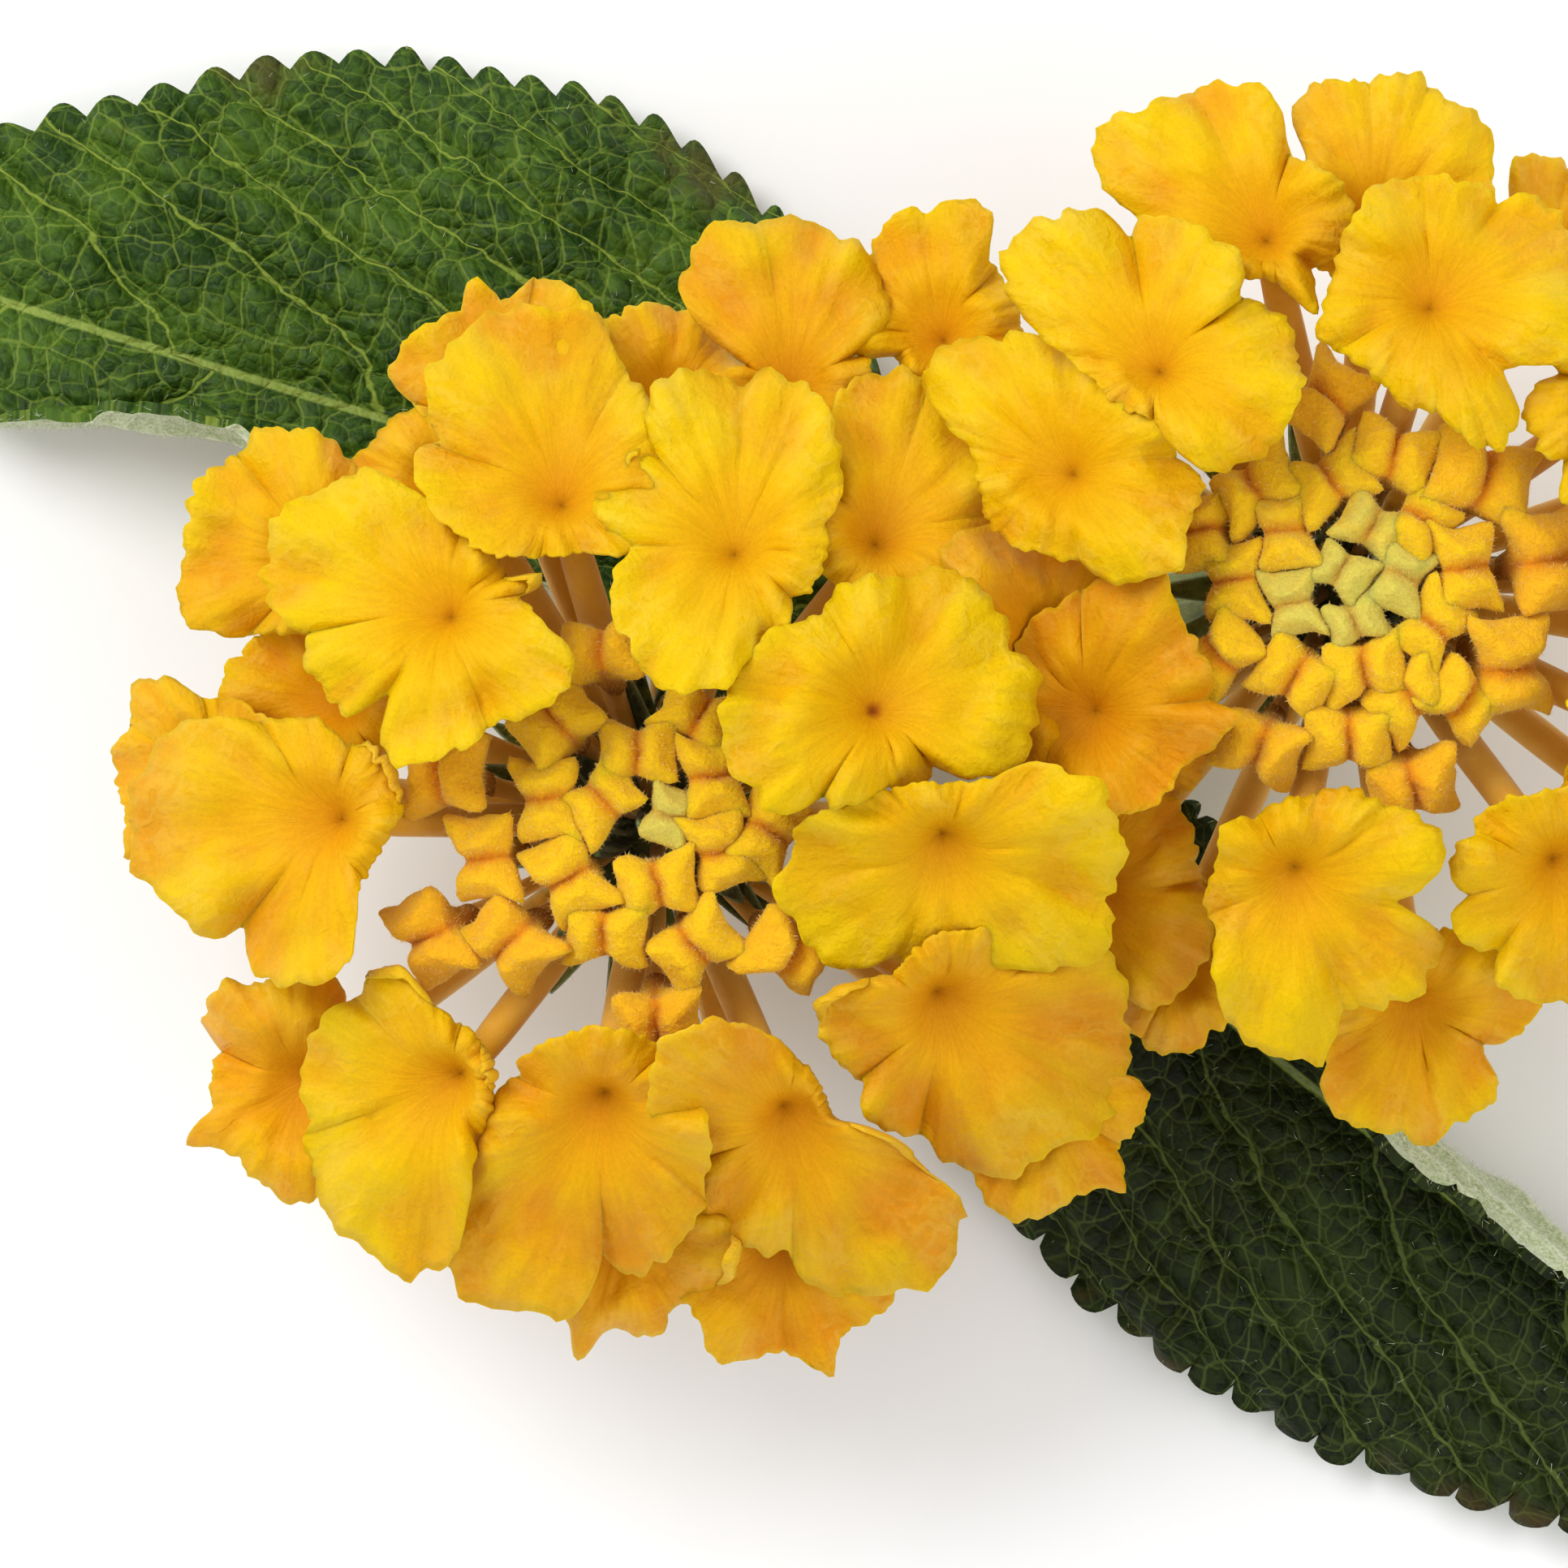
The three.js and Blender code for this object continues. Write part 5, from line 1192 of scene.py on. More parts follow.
def edge_reach(fields, a, phase, crinkle_share):
    """Reach of the uneven edge of a limb: fine waves, and scallops that come and go round it."""
    crinkle = waves(a, phase, [(5, 0.016), (8, 0.016), (13, 0.013), (19, 0.010), (29, 0.012), (43, 0.009)])
    scallop = np.abs(np.sin(17 * a + 2.2 * np.sin(3 * a + phase[4]))) ** 0.7
    scallop += 0.7 * np.abs(np.sin(27 * a + 2.0 * np.sin(5 * a + phase[5]))) ** 0.7
    crinkle += 0.04 * (scallop - 1.1) * (0.5 + 0.5 * np.sin(2 * a + 1.3 * np.sin(a) + phase[6])) ** 1.5
    reach = np.maximum(fields["reach"], LEAST_REACH)
    kernel = np.array([0.08, 0.17, 0.5, 0.17, 0.08])
    reach = np.convolve(np.concatenate([reach[-2:], reach, reach[:2]]), kernel, "valid")
    return reach * (1 + crinkle_share * crinkle)


def limb_rings(reach, curl):
    """Radius, way along the petal and rise of each ring of a limb, where curled edges roll up."""
    steps = (np.arange(1, LIMB_RINGS + 1) / LIMB_RINGS)[:, None]
    roll = EDGE_ROLL * curl
    inner_end = THROAT_RADII[-1]
    arc = inner_end + (reach + 2.6 * roll - inner_end) * steps ** 0.9
    flat_end = reach - roll
    turn = np.where(roll > 0.02, np.maximum(arc - flat_end, 0) / np.maximum(roll, 0.02), 0)
    bent = np.minimum(turn, MOST_BENT)
    back = np.maximum(turn - MOST_BENT, 0) * roll
    radius = np.where(turn > 0, flat_end + roll * np.sin(bent) - back, np.minimum(arc, reach))
    raised = np.where(turn > 0, roll * (1 - np.cos(bent)), 0)
    inner = np.repeat(np.array(THROAT_RADII)[:, None], len(reach), 1)
    return np.vstack([inner, radius]), np.vstack([inner, arc]), np.vstack([0 * inner, raised])


def limb_lift(r, raised, reach, a, fields, phase, chance, petals):
    """Height of a limb over its plane, and how hollow its folds are."""
    inner_end = THROAT_RADII[-1]
    out = np.clip((r - inner_end) / np.maximum(reach - inner_end, 0.3), 0, 1)
    # a soft funnel that flattens outwards and turns down a little at the edge
    lift = -THROAT_FALL * np.exp(-r / THROAT_SPAN)
    lift[: len(THROAT_RADII)] = np.array(THROAT_DEPTHS)[:, None]
    lift += SWELL * np.sin(math.pi * out ** 1.15)
    lift -= EDGE_DROP * out ** 3.0
    lift += raised
    bow = petals.bow
    lift += bow * fields["bow"] * LOBE_RISE * eased(0.0, 0.75, out) * (1 - 0.3 * out)
    lift -= bow * LOBE_FALL * eased(0.1, 0.9, out)
    lift += bow * LOBE_TWIST * fields["twist"] * eased(0.1, 1.0, out)
    lift -= bow * LOBE_CREASE * fields["crease"] * eased(0.0, 0.3, out) * (1 - 0.7 * eased(0.5, 1.0, out))
    lift -= NOTCH_DROP * fields["notch"] * eased(0.4, 1.0, out)
    lift -= LOBE_DIP * fields["dip"] * np.clip((out - 0.4) / 0.6, 0, 1) ** 2
    even = lift.copy()
    edge = eased(0.35, 1.0, out)
    ruffle = petals.ruffle * np.clip(reach / 4.4, 0.25, 1.2)
    lift += ruffle * waves(a, phase[7:], [(3, 0.26), (5, 0.24), (8, 0.17)]) * eased(0.1, 1.0, out)
    lift += ruffle * waves(a, phase[10:], [(13, 0.085), (19, 0.05)]) * edge
    lift += ruffle * waves(a, phase[12:], [(26, 0.042), (35, 0.026)]) * edge ** 2
    # broad dents and swellings that ignore the petals
    dents = 0
    for wave in (2.0, 2.6, 3.5, 4.8):
        facing = chance.uniform(0, math.pi)
        way = r * np.cos(a) * math.cos(facing) + r * np.sin(a) * math.sin(facing)
        dents = dents + 0.034 * wave * np.sin(2 * math.pi * way / wave + chance.uniform(0, 6.3))
    lift += bow * dents * eased(0.12, 0.6, out)
    # broad soft folds that run out from the throat and wander
    folds = waves(a + 0.12 * np.sin(2.5 * r + phase[0]), phase[3:], [(7, 0.10), (11, 0.06), (19, 0.016)])
    lift += bow * folds * eased(0.05, 0.5, out) * (1 - 0.35 * out)
    return lift, np.clip((even - lift) / HOLLOW_DEPTH, -1, 1)


def floret(row, index, petals):
    """One open floret's limb with its throat, as a closed thin shell."""
    chance = random.Random(1000 + index)
    count = petals.points_round
    azimuth = np.arange(count) * 360.0 / count
    a = np.radians(azimuth)
    fields = lobe_fields(row, azimuth, chance)
    phase = [chance.uniform(0, 2 * math.pi) for _ in range(17)]
    reach = edge_reach(fields, a, phase, petals.crinkle)
    r, along_petal, raised = limb_rings(reach, fields["curl"])
    lift, hollow = limb_lift(r, raised, reach, a, fields, phase, chance, petals)
    dx, dy = r * np.cos(a), r * np.sin(a)
    for dimple_azimuth, dimple_reach, dimple_size in row.get("dimples", ()):
        d = math.radians(dimple_azimuth)
        far = np.hypot(dx - dimple_reach * math.cos(d), dy - dimple_reach * math.sin(d))
        lift -= DIMPLE_DEPTH * np.exp(-((far / dimple_size) ** 2))
    slope = math.tan(math.radians(row["lean"][1]))
    facing = math.radians(row["lean"][0])
    x0, y0, z0 = row["mouth"]
    plane = -slope * (math.cos(facing) * dx + math.sin(facing) * dy)
    # the throat runs down the tube, not straight down
    shift = np.minimum(lift, 0) * np.clip(1 - (r - 0.3) / 1.2, 0, 1) * slope * 0.7
    height = z0 + plane * (0.35 + 0.65 * eased(0.1, 0.9, r)) + lift
    grid = np.stack([x0 + dx + shift * math.cos(facing), y0 + dy + shift * math.sin(facing), height], -1)
    share = np.clip(r / reach, 0, 1)
    thickness = petals.thickness / MM * (1 - THINNING * share ** 2)[..., None]
    half = grid_normals(grid, True) * thickness / 2
    top = grid + half
    bottom = grid - half
    bottom[: len(THROAT_FOOT), :, 2] -= np.array(THROAT_FOOT)[:, None]
    tip_top = top[0].mean(0) - (0, 0, 0.03)
    tip_bottom = bottom[0].mean(0) - (0, 0, 0.1)
    points = np.vstack([top.reshape(-1, 3), bottom.reshape(-1, 3), tip_top, tip_bottom])
    rings = len(r)
    size = rings * count
    k = np.arange(count)
    n = (k + 1) % count
    faces = [
        quads(rings, count, True),
        quads(rings, count, True, size, True),
        np.stack([np.full(count, 2 * size), k, n], -1),
        np.stack([np.full(count, 2 * size + 1), n + size, k + size], -1),
        np.stack([k + size - count, k + 2 * size - count, n + 2 * size - count, n + size - count], -1),
    ]
    petal = np.stack([along_petal, share, np.full(r.shape, row["tint"])], -1).reshape(-1, 3)
    streak = np.tile(np.stack([np.cos(a), np.sin(a), np.full(count, index * 0.37)], -1), (rings, 1))
    hollow = hollow.reshape(-1)
    values = {
        "spot": np.full(2 * size + 2, row.get("spot", 0.1)),
        "hollow": np.concatenate([hollow, hollow, [0, 0]]),
        "petal": np.vstack([petal, petal, [[0, 0, row["tint"]]] * 2]),
        "streak": np.vstack([streak, streak, np.zeros((2, 3))]),
        "under": np.concatenate([np.zeros(size), np.ones(size), [0, 1]]),
    }
    return points, faces, values


def tube_path(row):
    """Centre line and radius of one floret's tube, from the receptacle to its mouth."""
    x, y, z = row["mouth"]
    facing = math.radians(row["lean"][0])
    cos, sin = math.cos(facing), math.sin(facing)
    slope = math.tan(math.radians(row["lean"][1]))
    middle = (0.62 * x - 0.8 * cos, 0.62 * y - 0.8 * sin, 0.62 * z + 0.1)
    end = (x - cos * slope, y - sin * slope, z - 1.5)
    points = bezier((0.05 * x, 0.05 * y, 0.4), middle, end, 12)
    t = np.linspace(0, 1, len(points))
    return points, 0.36 + 0.14 * eased(0.1, 0.55, t) + 0.05 * np.sin(math.pi * t) - 0.06 * eased(0.8, 1.0, t)


def bud_place(x, y):
    """Place of a bud's middle on the dome of the head."""
    return np.array([x, y, BUD_TOP - 0.03 * (x * x + y * y)])


def bud_tube_path(row):
    """Centre line and radius of one bud's tube."""
    x, y, _, size = row
    axis = np.array([x * BUD_SPLAY, y * BUD_SPLAY, 1.0])
    axis /= np.linalg.norm(axis)
    end = bud_place(x, y) - axis * 1.0 * size
    middle = end - axis * 3.2 + np.array([0.12 * x, 0.12 * y, 0])
    points = bezier((0.1 * x, 0.1 * y, 0.6), middle, end, 8)
    t = np.linspace(0, 1, len(points))
    return points, 0.22 + 0.1 * t + 0.16 * eased(0.7, 1, t) * size


def path_piece(name, paths, middle, sides, material):
    """One piece of rods along (points, radius) paths, grown by the rod tree."""
    edges, start = [], 0
    for line, _ in paths:
        edges += [(start + i, start + i + 1) for i in range(len(line) - 1)]
        start += len(line)
    values = {
        "girth": np.concatenate([radius * MM for _, radius in paths]),
        "share": np.concatenate([np.linspace(0, 1, len(line)) for line, _ in paths]),
    }
    mesh = bpy.data.meshes.new(name + "_paths")
    mesh.from_pydata(to_frame(np.vstack([line + middle for line, _ in paths])).tolist(), edges, [])
    give_values(mesh, values)
    host = placed(name + "_paths", mesh)
    return grown(host, rod_tree(), {"Sides": sides, "Material": material}, name)


# ---- buds ----


# Reach of one quarter of a bud's outline by azimuth, from the far side over a corner to the waist.
BUD_QUARTER = [
    [0, 0.95], [14, 0.98], [26, 1.08], [33, 1.22], [39, 1.36], [44, 1.25], [52, 1.01], [62, 0.79],
    [76, 0.62], [90, 0.56],
]
BUD_CORNERS = (0.12, -0.14, 0.06, -0.06)  # how much longer each corner is


def bud_form(length):
    """A closed bud: two plump pads with a crease between and four pointed corners, on a short neck."""
    count = 48
    azimuth = np.arange(count) * 360 / count
    a = np.radians(azimuth)
    folded = np.abs((azimuth + 90) % 180 - 90)
    reach = np.interp(folded, *zip(*BUD_QUARTER))
    corner = np.exp(-(((folded - 39) / 9) ** 2))
    reach += corner * np.array(BUD_CORNERS)[(azimuth // 90).astype(int)]
    rings = []
    shares = []
    for step in (0.1, 0.22, 0.34, 0.46, 0.58, 0.69, 0.79, 0.88, 0.95, 1.0):
        x = reach * np.cos(a) * step
        y = reach * np.sin(a) * step
        pillow = (1 - step ** 2.5) ** 0.56
        pad = np.exp(-(((np.abs(x) - 0.46) / 0.40) ** 2)) * np.exp(-((y / 0.62) ** 2))
        height = pillow * (0.46 + 0.30 * pad) * (1 - 0.52 * np.exp(-((np.abs(x) / 0.16) ** 1.5)))
        height += 0.10 * corner * eased(0.6, 1.0, step)
        rings.append(np.stack([x, y, height], -1))
        shares.append(np.full(count, step))
    for step, z in ((1.0, -0.06), (0.94, -0.22), (0.82, -0.42), (0.62, -0.70), (0.44, -1.05), (0.34, -1.5)):
        even = eased(0.0, 0.5, 1 - step)
        width = reach * (1 - even) + 0.8 * even
        rings.append(np.stack([width * np.cos(a) * step, width * np.sin(a) * step, np.full(count, z)], -1))
        shares.append(np.full(count, 2 - step))
    grid = np.array(rings) * length / 2
    top = np.array([0, 0, 0.26]) * length / 2
    foot = np.array([0, 0, -1.55]) * length / 2
    points = np.vstack([grid.reshape(-1, 3), top, foot])
    crease = np.exp(-((grid[..., 0] / (0.12 * length / 2)) ** 2)).reshape(-1)
    share = np.array(shares).reshape(-1)
    value = np.stack([np.append(crease, [1, 0]), np.append(share, [0, 1.7]), np.zeros(len(points))], -1)
    return points, capped(len(rings), count), {"bud": value}


def bud_turn(row):
    """Rotation of a bud: its crease across an azimuth, its axis leaning outwards."""
    x, y, azimuth, _ = row
    axis = Vector((x * BUD_SPLAY, y * BUD_SPLAY, 1)).normalized()
    across = Vector((math.cos(math.radians(azimuth)), math.sin(math.radians(azimuth)), 0))
    across = (across - axis * across.dot(axis)).normalized()
    return Matrix((across, axis.cross(across), axis)).transposed().to_euler()


def copies_piece(name, form, rows, material, uneven=0.0):
    """Copies of a form; rows are (place, euler turn, size vector, age)."""
    template = piece_of(name + "_form", *form, scale=False)
    places, turns, sizes, ages = zip(*rows)
    mesh = bpy.data.meshes.new(name + "_points")
    mesh.from_pydata(to_frame(places).tolist(), [], [])
    give_values(mesh, {"turn": turns, "grown": sizes, "age": ages})
    host = placed(name + "_points", mesh)
    values = {"Form": template, "Uneven": uneven * MM, "Material": material}
    piece = grown(host, copies_tree(), values, name)
    bpy.data.objects.remove(template)
    return piece


# ---- bracts ----


def bract_form(length, width, thickness):
    """A narrow pointed bract that bends up, with a raised middle line and a curled margin."""
    rows, columns = 16, 7
    t = np.linspace(0, 1, rows)[:, None]
    across = np.linspace(-1, 1, columns)[None]
    half = width / 2 * (np.sin(math.pi * np.clip(t, 0, 1) ** 0.75) ** 0.8 * (1 - 0.25 * t) + 0.06)
    x = length * t + 0 * across
    y = half * across
    z = 0.16 * length * t ** 2.2 + 0.35 * half * across ** 2 - 0.03 * np.cos(across * math.pi) * (1 - t)
    mid = np.stack([x, y, z + 0 * x], -1)
    half_up = grid_normals(mid, False) * thickness / 2
    up = mid + half_up
    down = mid - half_up
    ridge = np.exp(-((across / 0.16) ** 2)) + eased(0.78, 1.0, np.abs(across)) + 0 * t
    ridge = np.clip(ridge, 0, 1).reshape(-1)
    points = np.vstack([up.reshape(-1, 3), down.reshape(-1, 3)])
    values = {"ridge": np.concatenate([ridge, ridge]), "downy": np.ones(len(points))}
    return points, sheet(rows, columns), values


# ---- leaves ----


def vein_fields(u, v, start):
    """A place that is the same all along one side vein, and how fast it changes across the vein."""
    away = np.abs(v)
    low = 0.45 * away + 0.32 * away ** 2
    high = 0.45 * VEIN_KNEE + 0.32 * VEIN_KNEE ** 2 + VEIN_SLOPE * (away - VEIN_KNEE)
    forward = np.where(away < VEIN_KNEE, low, high)
    slope = np.where(away < VEIN_KNEE, 0.45 + 0.64 * away, VEIN_SLOPE)
    wobble = 0.35 * np.sin(0.55 * u + 0.9) * np.sin(0.8 * v + 0.3) + 0.22 * np.sin(1.35 * u - 0.7 * v)
    return u - forward - np.where(v > 0, start[0], start[1]) + wobble, np.sqrt(1 + slope ** 2)


def tooth_line(phase, round_teeth):
    """Height of the margin's teeth over one pitch: steep towards the tip, or round."""
    steep = np.sin(math.pi * np.clip(phase, 0, 1) ** 1.7) ** 0.6
    plump = np.sin(math.pi * np.clip(phase, 0, 1)) ** 0.42
    return steep * (1 - round_teeth) + plump * round_teeth


def half_blade(leaf, share, width, opened, columns):
    """Distance out, height, tilt and flat distance over one half of the blade, row by row."""
    fine = 3
    count = columns * fine
    part = (np.arange(count) + 0.5)[None] / count
    if opened:
        tilt = OPEN_RISE - OPEN_BEND * along(leaf["drop"], share)[:, None] * part
    else:
        fold = along(leaf["fold"], share)[:, None]
        turned = np.clip((part * width[:, None] - fold) / BEND, 0, 1)
        tilt = ROLLED_RISE + along(leaf["lean"], share)[:, None] * turned
    stride = width[:, None] / count
    out = np.cumsum(stride * np.cos(np.radians(tilt)), 1)[:, fine - 1::fine]
    up = np.cumsum(stride * np.sin(np.radians(tilt)), 1)[:, fine - 1::fine]
    flat = (np.arange(1, columns + 1)[None] / columns) * width[:, None]
    return out, up, flat


def leaf_line(leaf):
    """Midrib points of a leaf, their share of its length, the length, and the way to the left of each."""
    line, length = smooth_line(leaf["midrib"], 1200)
    teeth = round(length / TOOTH_PITCH)
    share = np.linspace(0, 1, teeth * POINTS_PER_TOOTH + 1)
    index = share * (len(line) - 1)
    centre = np.stack([np.interp(index, np.arange(len(line)), line[:, k]) for k in range(3)], -1)
    forward = np.gradient(centre, axis=0)
    forward[:, 2] = 0
    forward /= np.linalg.norm(forward, axis=1, keepdims=True)
    left = np.stack([-forward[:, 1], forward[:, 0], np.zeros(len(share))], -1)
    return centre, share, length, teeth, left


def leaf_teeth(leaf, share, teeth):
    """How far the uneven teeth of the margin stand out."""
    chance = random.Random(7)
    sizes = np.array([chance.uniform(0.75, 1.2) for _ in range(teeth + 1)])
    tooth = tooth_line((share * teeth) % 1, leaf["round_teeth"])
    tooth = tooth * sizes[np.minimum((share * teeth).astype(int), teeth)]
    fade = eased(0.0, 0.05, share) * (1 - eased(0.96, 1.0, share))
    return TOOTH_HEIGHT * tooth * fade


def leaf_blade(leaf, look):
    """A leaf blade with both faces, its toothed margin and the cushions between its side veins."""
    centre, share, length, teeth, left = leaf_line(leaf)
    tooth = leaf_teeth(leaf, share, teeth)
    width = along(HALF_WIDTH, share) + tooth
    seen = np.interp(share, *zip(*leaf["outline"])) + tooth
    wide = np.maximum(width * leaf["open"], 0.2)
    out_open, up_open, flat_open = half_blade(leaf, share, wide, True, look.blade_columns)
    wide = np.maximum(width * leaf["rolled"], 0.2)
    out_roll, up_roll, flat_roll = half_blade(leaf, share, wide, False, look.blade_columns)
    stretch_open = (seen / out_open[:, -1])[:, None]
    out_open, flat_open = out_open * stretch_open, flat_open * stretch_open
    zero = np.zeros((len(share), 1))
    out = np.hstack([-out_open[:, ::-1], zero, out_roll])
    up = np.hstack([up_open[:, ::-1], zero, up_roll])
    v = np.hstack([-flat_open[:, ::-1], zero, flat_roll])
    wave = 0.35 * np.sin(share * 21)[:, None] * np.minimum(1, np.abs(out) / 9)
    mid = centre[:, None] + left[:, None] * out[..., None]
    mid[..., 2] += up + wave
    u = np.repeat((share * length)[:, None], v.shape[1], 1)
    place, stretch = vein_fields(u, v, leaf["vein_start"])
    # the blade swells between its side veins, with low bumps, and sinks at the midrib
    spacing = look.vein_spacing / MM
    near = (0.5 - np.abs((place / spacing) % 1 - 0.5)) * spacing / stretch
    near_share = np.abs(v) / np.maximum(width[:, None], 0.3)
    margin = 1 - eased(0.86, 1.0, near_share)
    relief = look.quilt / MM * (eased(0.0, 0.85, near) - 0.6) * margin * eased(0.3, 1.5, np.abs(v))
    bumps = np.sin(2.9 * u + 1.3 * np.sin(2.1 * v)) * np.sin(3.3 * v + 0.6 * np.sin(1.7 * u))
    relief += 0.03 * bumps * margin
    relief -= 0.10 * np.exp(-((v / 0.5) ** 2))
    normals = grid_normals(mid, False)
    # the margin's very edge turns down a little
    open_share = np.abs(v) / np.maximum(width[:, None] * leaf["open"], 0.3)
    drop = 0.16 * eased(0.9, 1.0, open_share)
    thick = look.blade_thickness / MM * (1 - 0.4 * eased(0.8, 1.0, near_share))
    top = mid + normals * (thick / 2 + relief - drop)[..., None]
    rib = RIB_DEPTH * np.exp(-((v / 0.42) ** 2)) * (1 - 0.7 * share[:, None])
    veins_under = 0.1 * np.exp(-((near / 0.14) ** 2)) * margin
    bottom = mid - normals * (thick / 2 + rib + veins_under - 0.6 * relief + drop)[..., None]
    points = np.vstack([top.reshape(-1, 3), bottom.reshape(-1, 3)])
    flat = np.stack([u, v, np.abs(v)], -1).reshape(-1, 3)
    veins = np.stack([place, stretch, 0 * v], -1).reshape(-1, 3)
    under_downy = np.where(v > along(leaf["fold"], share)[:, None] + 0.8, 1.0, 0.12)
    values = {
        "flat": np.vstack([flat, flat]),
        "veins": np.vstack([veins, veins]),
        "edge": np.concatenate([eased(0.82, 0.98, open_share).reshape(-1)] * 2),
        "downy": np.concatenate([0.03 * np.ones(v.size), under_downy.reshape(-1)]),
    }
    return points, sheet(*v.shape), values


# ---- rods with ribs ----


def ribbed_rod(line, radius, sides, ribs, depth):
    """A closed rod with lengthwise ribs along a line of points."""
    line = np.asarray(line, float)
    count = len(line)
    radius = np.broadcast_to(np.asarray(radius, float), (count,))
    tangent = np.gradient(line, axis=0)
    tangent /= np.linalg.norm(tangent, axis=1, keepdims=True)
    normal = np.cross(tangent[0], (0, 0, 1))
    a = 2 * math.pi * np.arange(sides) / sides
    rings = []
    for i in range(count):
        normal = normal - tangent[i] * np.dot(normal, tangent[i])
        normal = normal / np.linalg.norm(normal)
        across = np.cross(tangent[i], normal)
        wide = radius[i] * (1 + depth * np.cos(ribs * a) + 0.012 * np.sin(3 * a + 2.1 * i))
        rings.append(line[i] + np.outer(wide * np.cos(a), normal) + np.outer(wide * np.sin(a), across))
    points = np.vstack([np.array(rings).reshape(-1, 3), line[0], line[-1]])
    ridge = np.tile(eased(0.3, 1.0, np.cos(ribs * a)), count)
    values = {"ridge": np.append(ridge, [1, 1]), "downy": np.ones(len(points))}
    return points, capped(count, sides, True), values


def rooted(points):
    """Points of a stalk that starts inside the swollen leaf node."""
    first = np.array(points[0], float)
    return [first + 0.75 * (np.array(LEAF_NODE) - first), *points]


def ball_of(centre, radii, rings=14, sides=24):
    """A closed rounded body with three radii."""
    theta = np.linspace(0, math.pi, rings + 2)[1:-1]
    phi = 2 * math.pi * np.arange(sides) / sides
    x, y = np.outer(np.sin(theta), np.cos(phi)), np.outer(np.sin(theta), np.sin(phi))
    z = np.outer(np.cos(theta), np.ones(sides))
    grid = np.stack([x * radii[0], y * radii[1], z * radii[2]], -1).reshape(-1, 3)
    points = np.vstack([grid, (0, 0, radii[2]), (0, 0, -radii[2])]) + centre
    values = {"ridge": np.full(len(points), 0.3), "downy": np.ones(len(points))}
    return points, capped(rings, sides), values


def add_material(piece, *materials):
    """Gives a piece its materials, in order."""
    for material in materials:
        piece.data.materials.append(material)


def settle(piece, nodes):
    """Rides a finished piece on the sprig, in place of its CAD node, with nothing under the surface."""
    places = np.empty(len(piece.data.vertices) * 3)
    piece.data.vertices.foreach_get("co", places)
    low = places[2::3]
    places[2::3] = np.where(low < REST, REST * np.exp((np.minimum(low, REST) - REST) / (4 * REST)), low)
    piece.data.vertices.foreach_set("co", places)
    piece.data.update()
    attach(piece, "root")
    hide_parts(*nodes)


def downed(source, name, look, material, seed, density, length, girth, spread=0.5):
    """Grows hairs on a copy of a piece, some for each square millimetre, as a piece of their own."""
    mesh = source.data.copy()
    if "downy" not in mesh.attributes:
        give_values(mesh, {"downy": np.ones(len(mesh.vertices))})
    values = {
        "Density": density / MM ** 2 * look.down_share, "Length": length * MM, "Girth": girth * MM,
        "Spread": spread, "Seed": seed, "Material": material,
    }
    return grown(placed(name + "_host", mesh), down_tree(), values, name)


# ---- sizes and colours ----


def paint(name, text, value):
    """A colour to choose."""
    return bpy.props.FloatVectorProperty(
        name=name, description=text, subtype="COLOR", size=3, min=0.0, max=1.0, default=value
    )


def length_of(name, text, value):
    """A length to choose; its first value is in millimetres."""
    value *= MM
    return bpy.props.FloatProperty(
        name=name, description=text, subtype="DISTANCE", unit="LENGTH", precision=5, min=0.0, default=value
    )


def share_of(name, text, value, top=4.0):
    """A share or a strength to choose."""
    return bpy.props.FloatProperty(
        name=name, description=text, subtype="FACTOR", min=0.0, max=top, default=value
    )


def count_of(name, text, value, least=0):
    """A number of things to choose."""
    return bpy.props.IntProperty(name=name, description=text, min=least, default=value)


def power_of(name, text, value):
    """The strength of a light to choose."""
    return bpy.props.FloatProperty(name=name, description=text, min=0.0, default=value)


class LantanaPetals(bpy.types.PropertyGroup):
    """Sizes and colours of the open florets."""

    thickness: length_of("Thickness", "Thickness of a petal at the throat", 0.19)
    fold_depth: length_of("Fold depth", "Depth of the fine folds", 0.06)
    crepe_size: length_of("Crepe size", "Size of the fine crumpled wrinkles", 0.4)
    ruffle: share_of("Ruffle", "How much the outer edge waves up and down", 1.0)
    crinkle: share_of("Crinkle", "How uneven the outline of a limb is", 1.0)
    bow: share_of("Bow", "How much each lobe bows, twists and creases", 1.3)
    points_round: count_of("Points round", "Points round a limb", 170, 24)
    edge_colour: paint("Lemon", "Outer part of a fresh petal", (0.745, 0.475, 0.001))
    middle_colour: paint("Golden", "Middle of a petal", (0.73, 0.355, 0.002))
    throat_colour: paint("Throat", "Orange about the throat", (0.69, 0.25, 0.005))
    # painted shade for the dark inside of the throat
    painted_throat_shade_colour: paint("Hole", "Inside of the throat", (0.45, 0.12, 0.007))
    aged_colour: paint("Orange", "Outer part of an older petal", (0.66, 0.265, 0.006))
    rim_colour: paint("Rim", "Thin outer edge", (0.77, 0.50, 0.006))
    # painted highlight on the crests of the fine wrinkles
    painted_crest_highlight_colour: paint("Crest", "Crests of the fine wrinkles", (0.83, 0.60, 0.10))
    under_colour: paint("Underside", "Under face of a petal", (0.73, 0.42, 0.02))
    tube_colour: paint("Tube", "Tube below the limb", (0.85, 0.53, 0.11))
    # greener foot of a tube, darkened as painted shade under the head
    root_green_and_shade_colour: paint("Tube root", "Greener foot of a tube", (0.17, 0.12, 0.02))


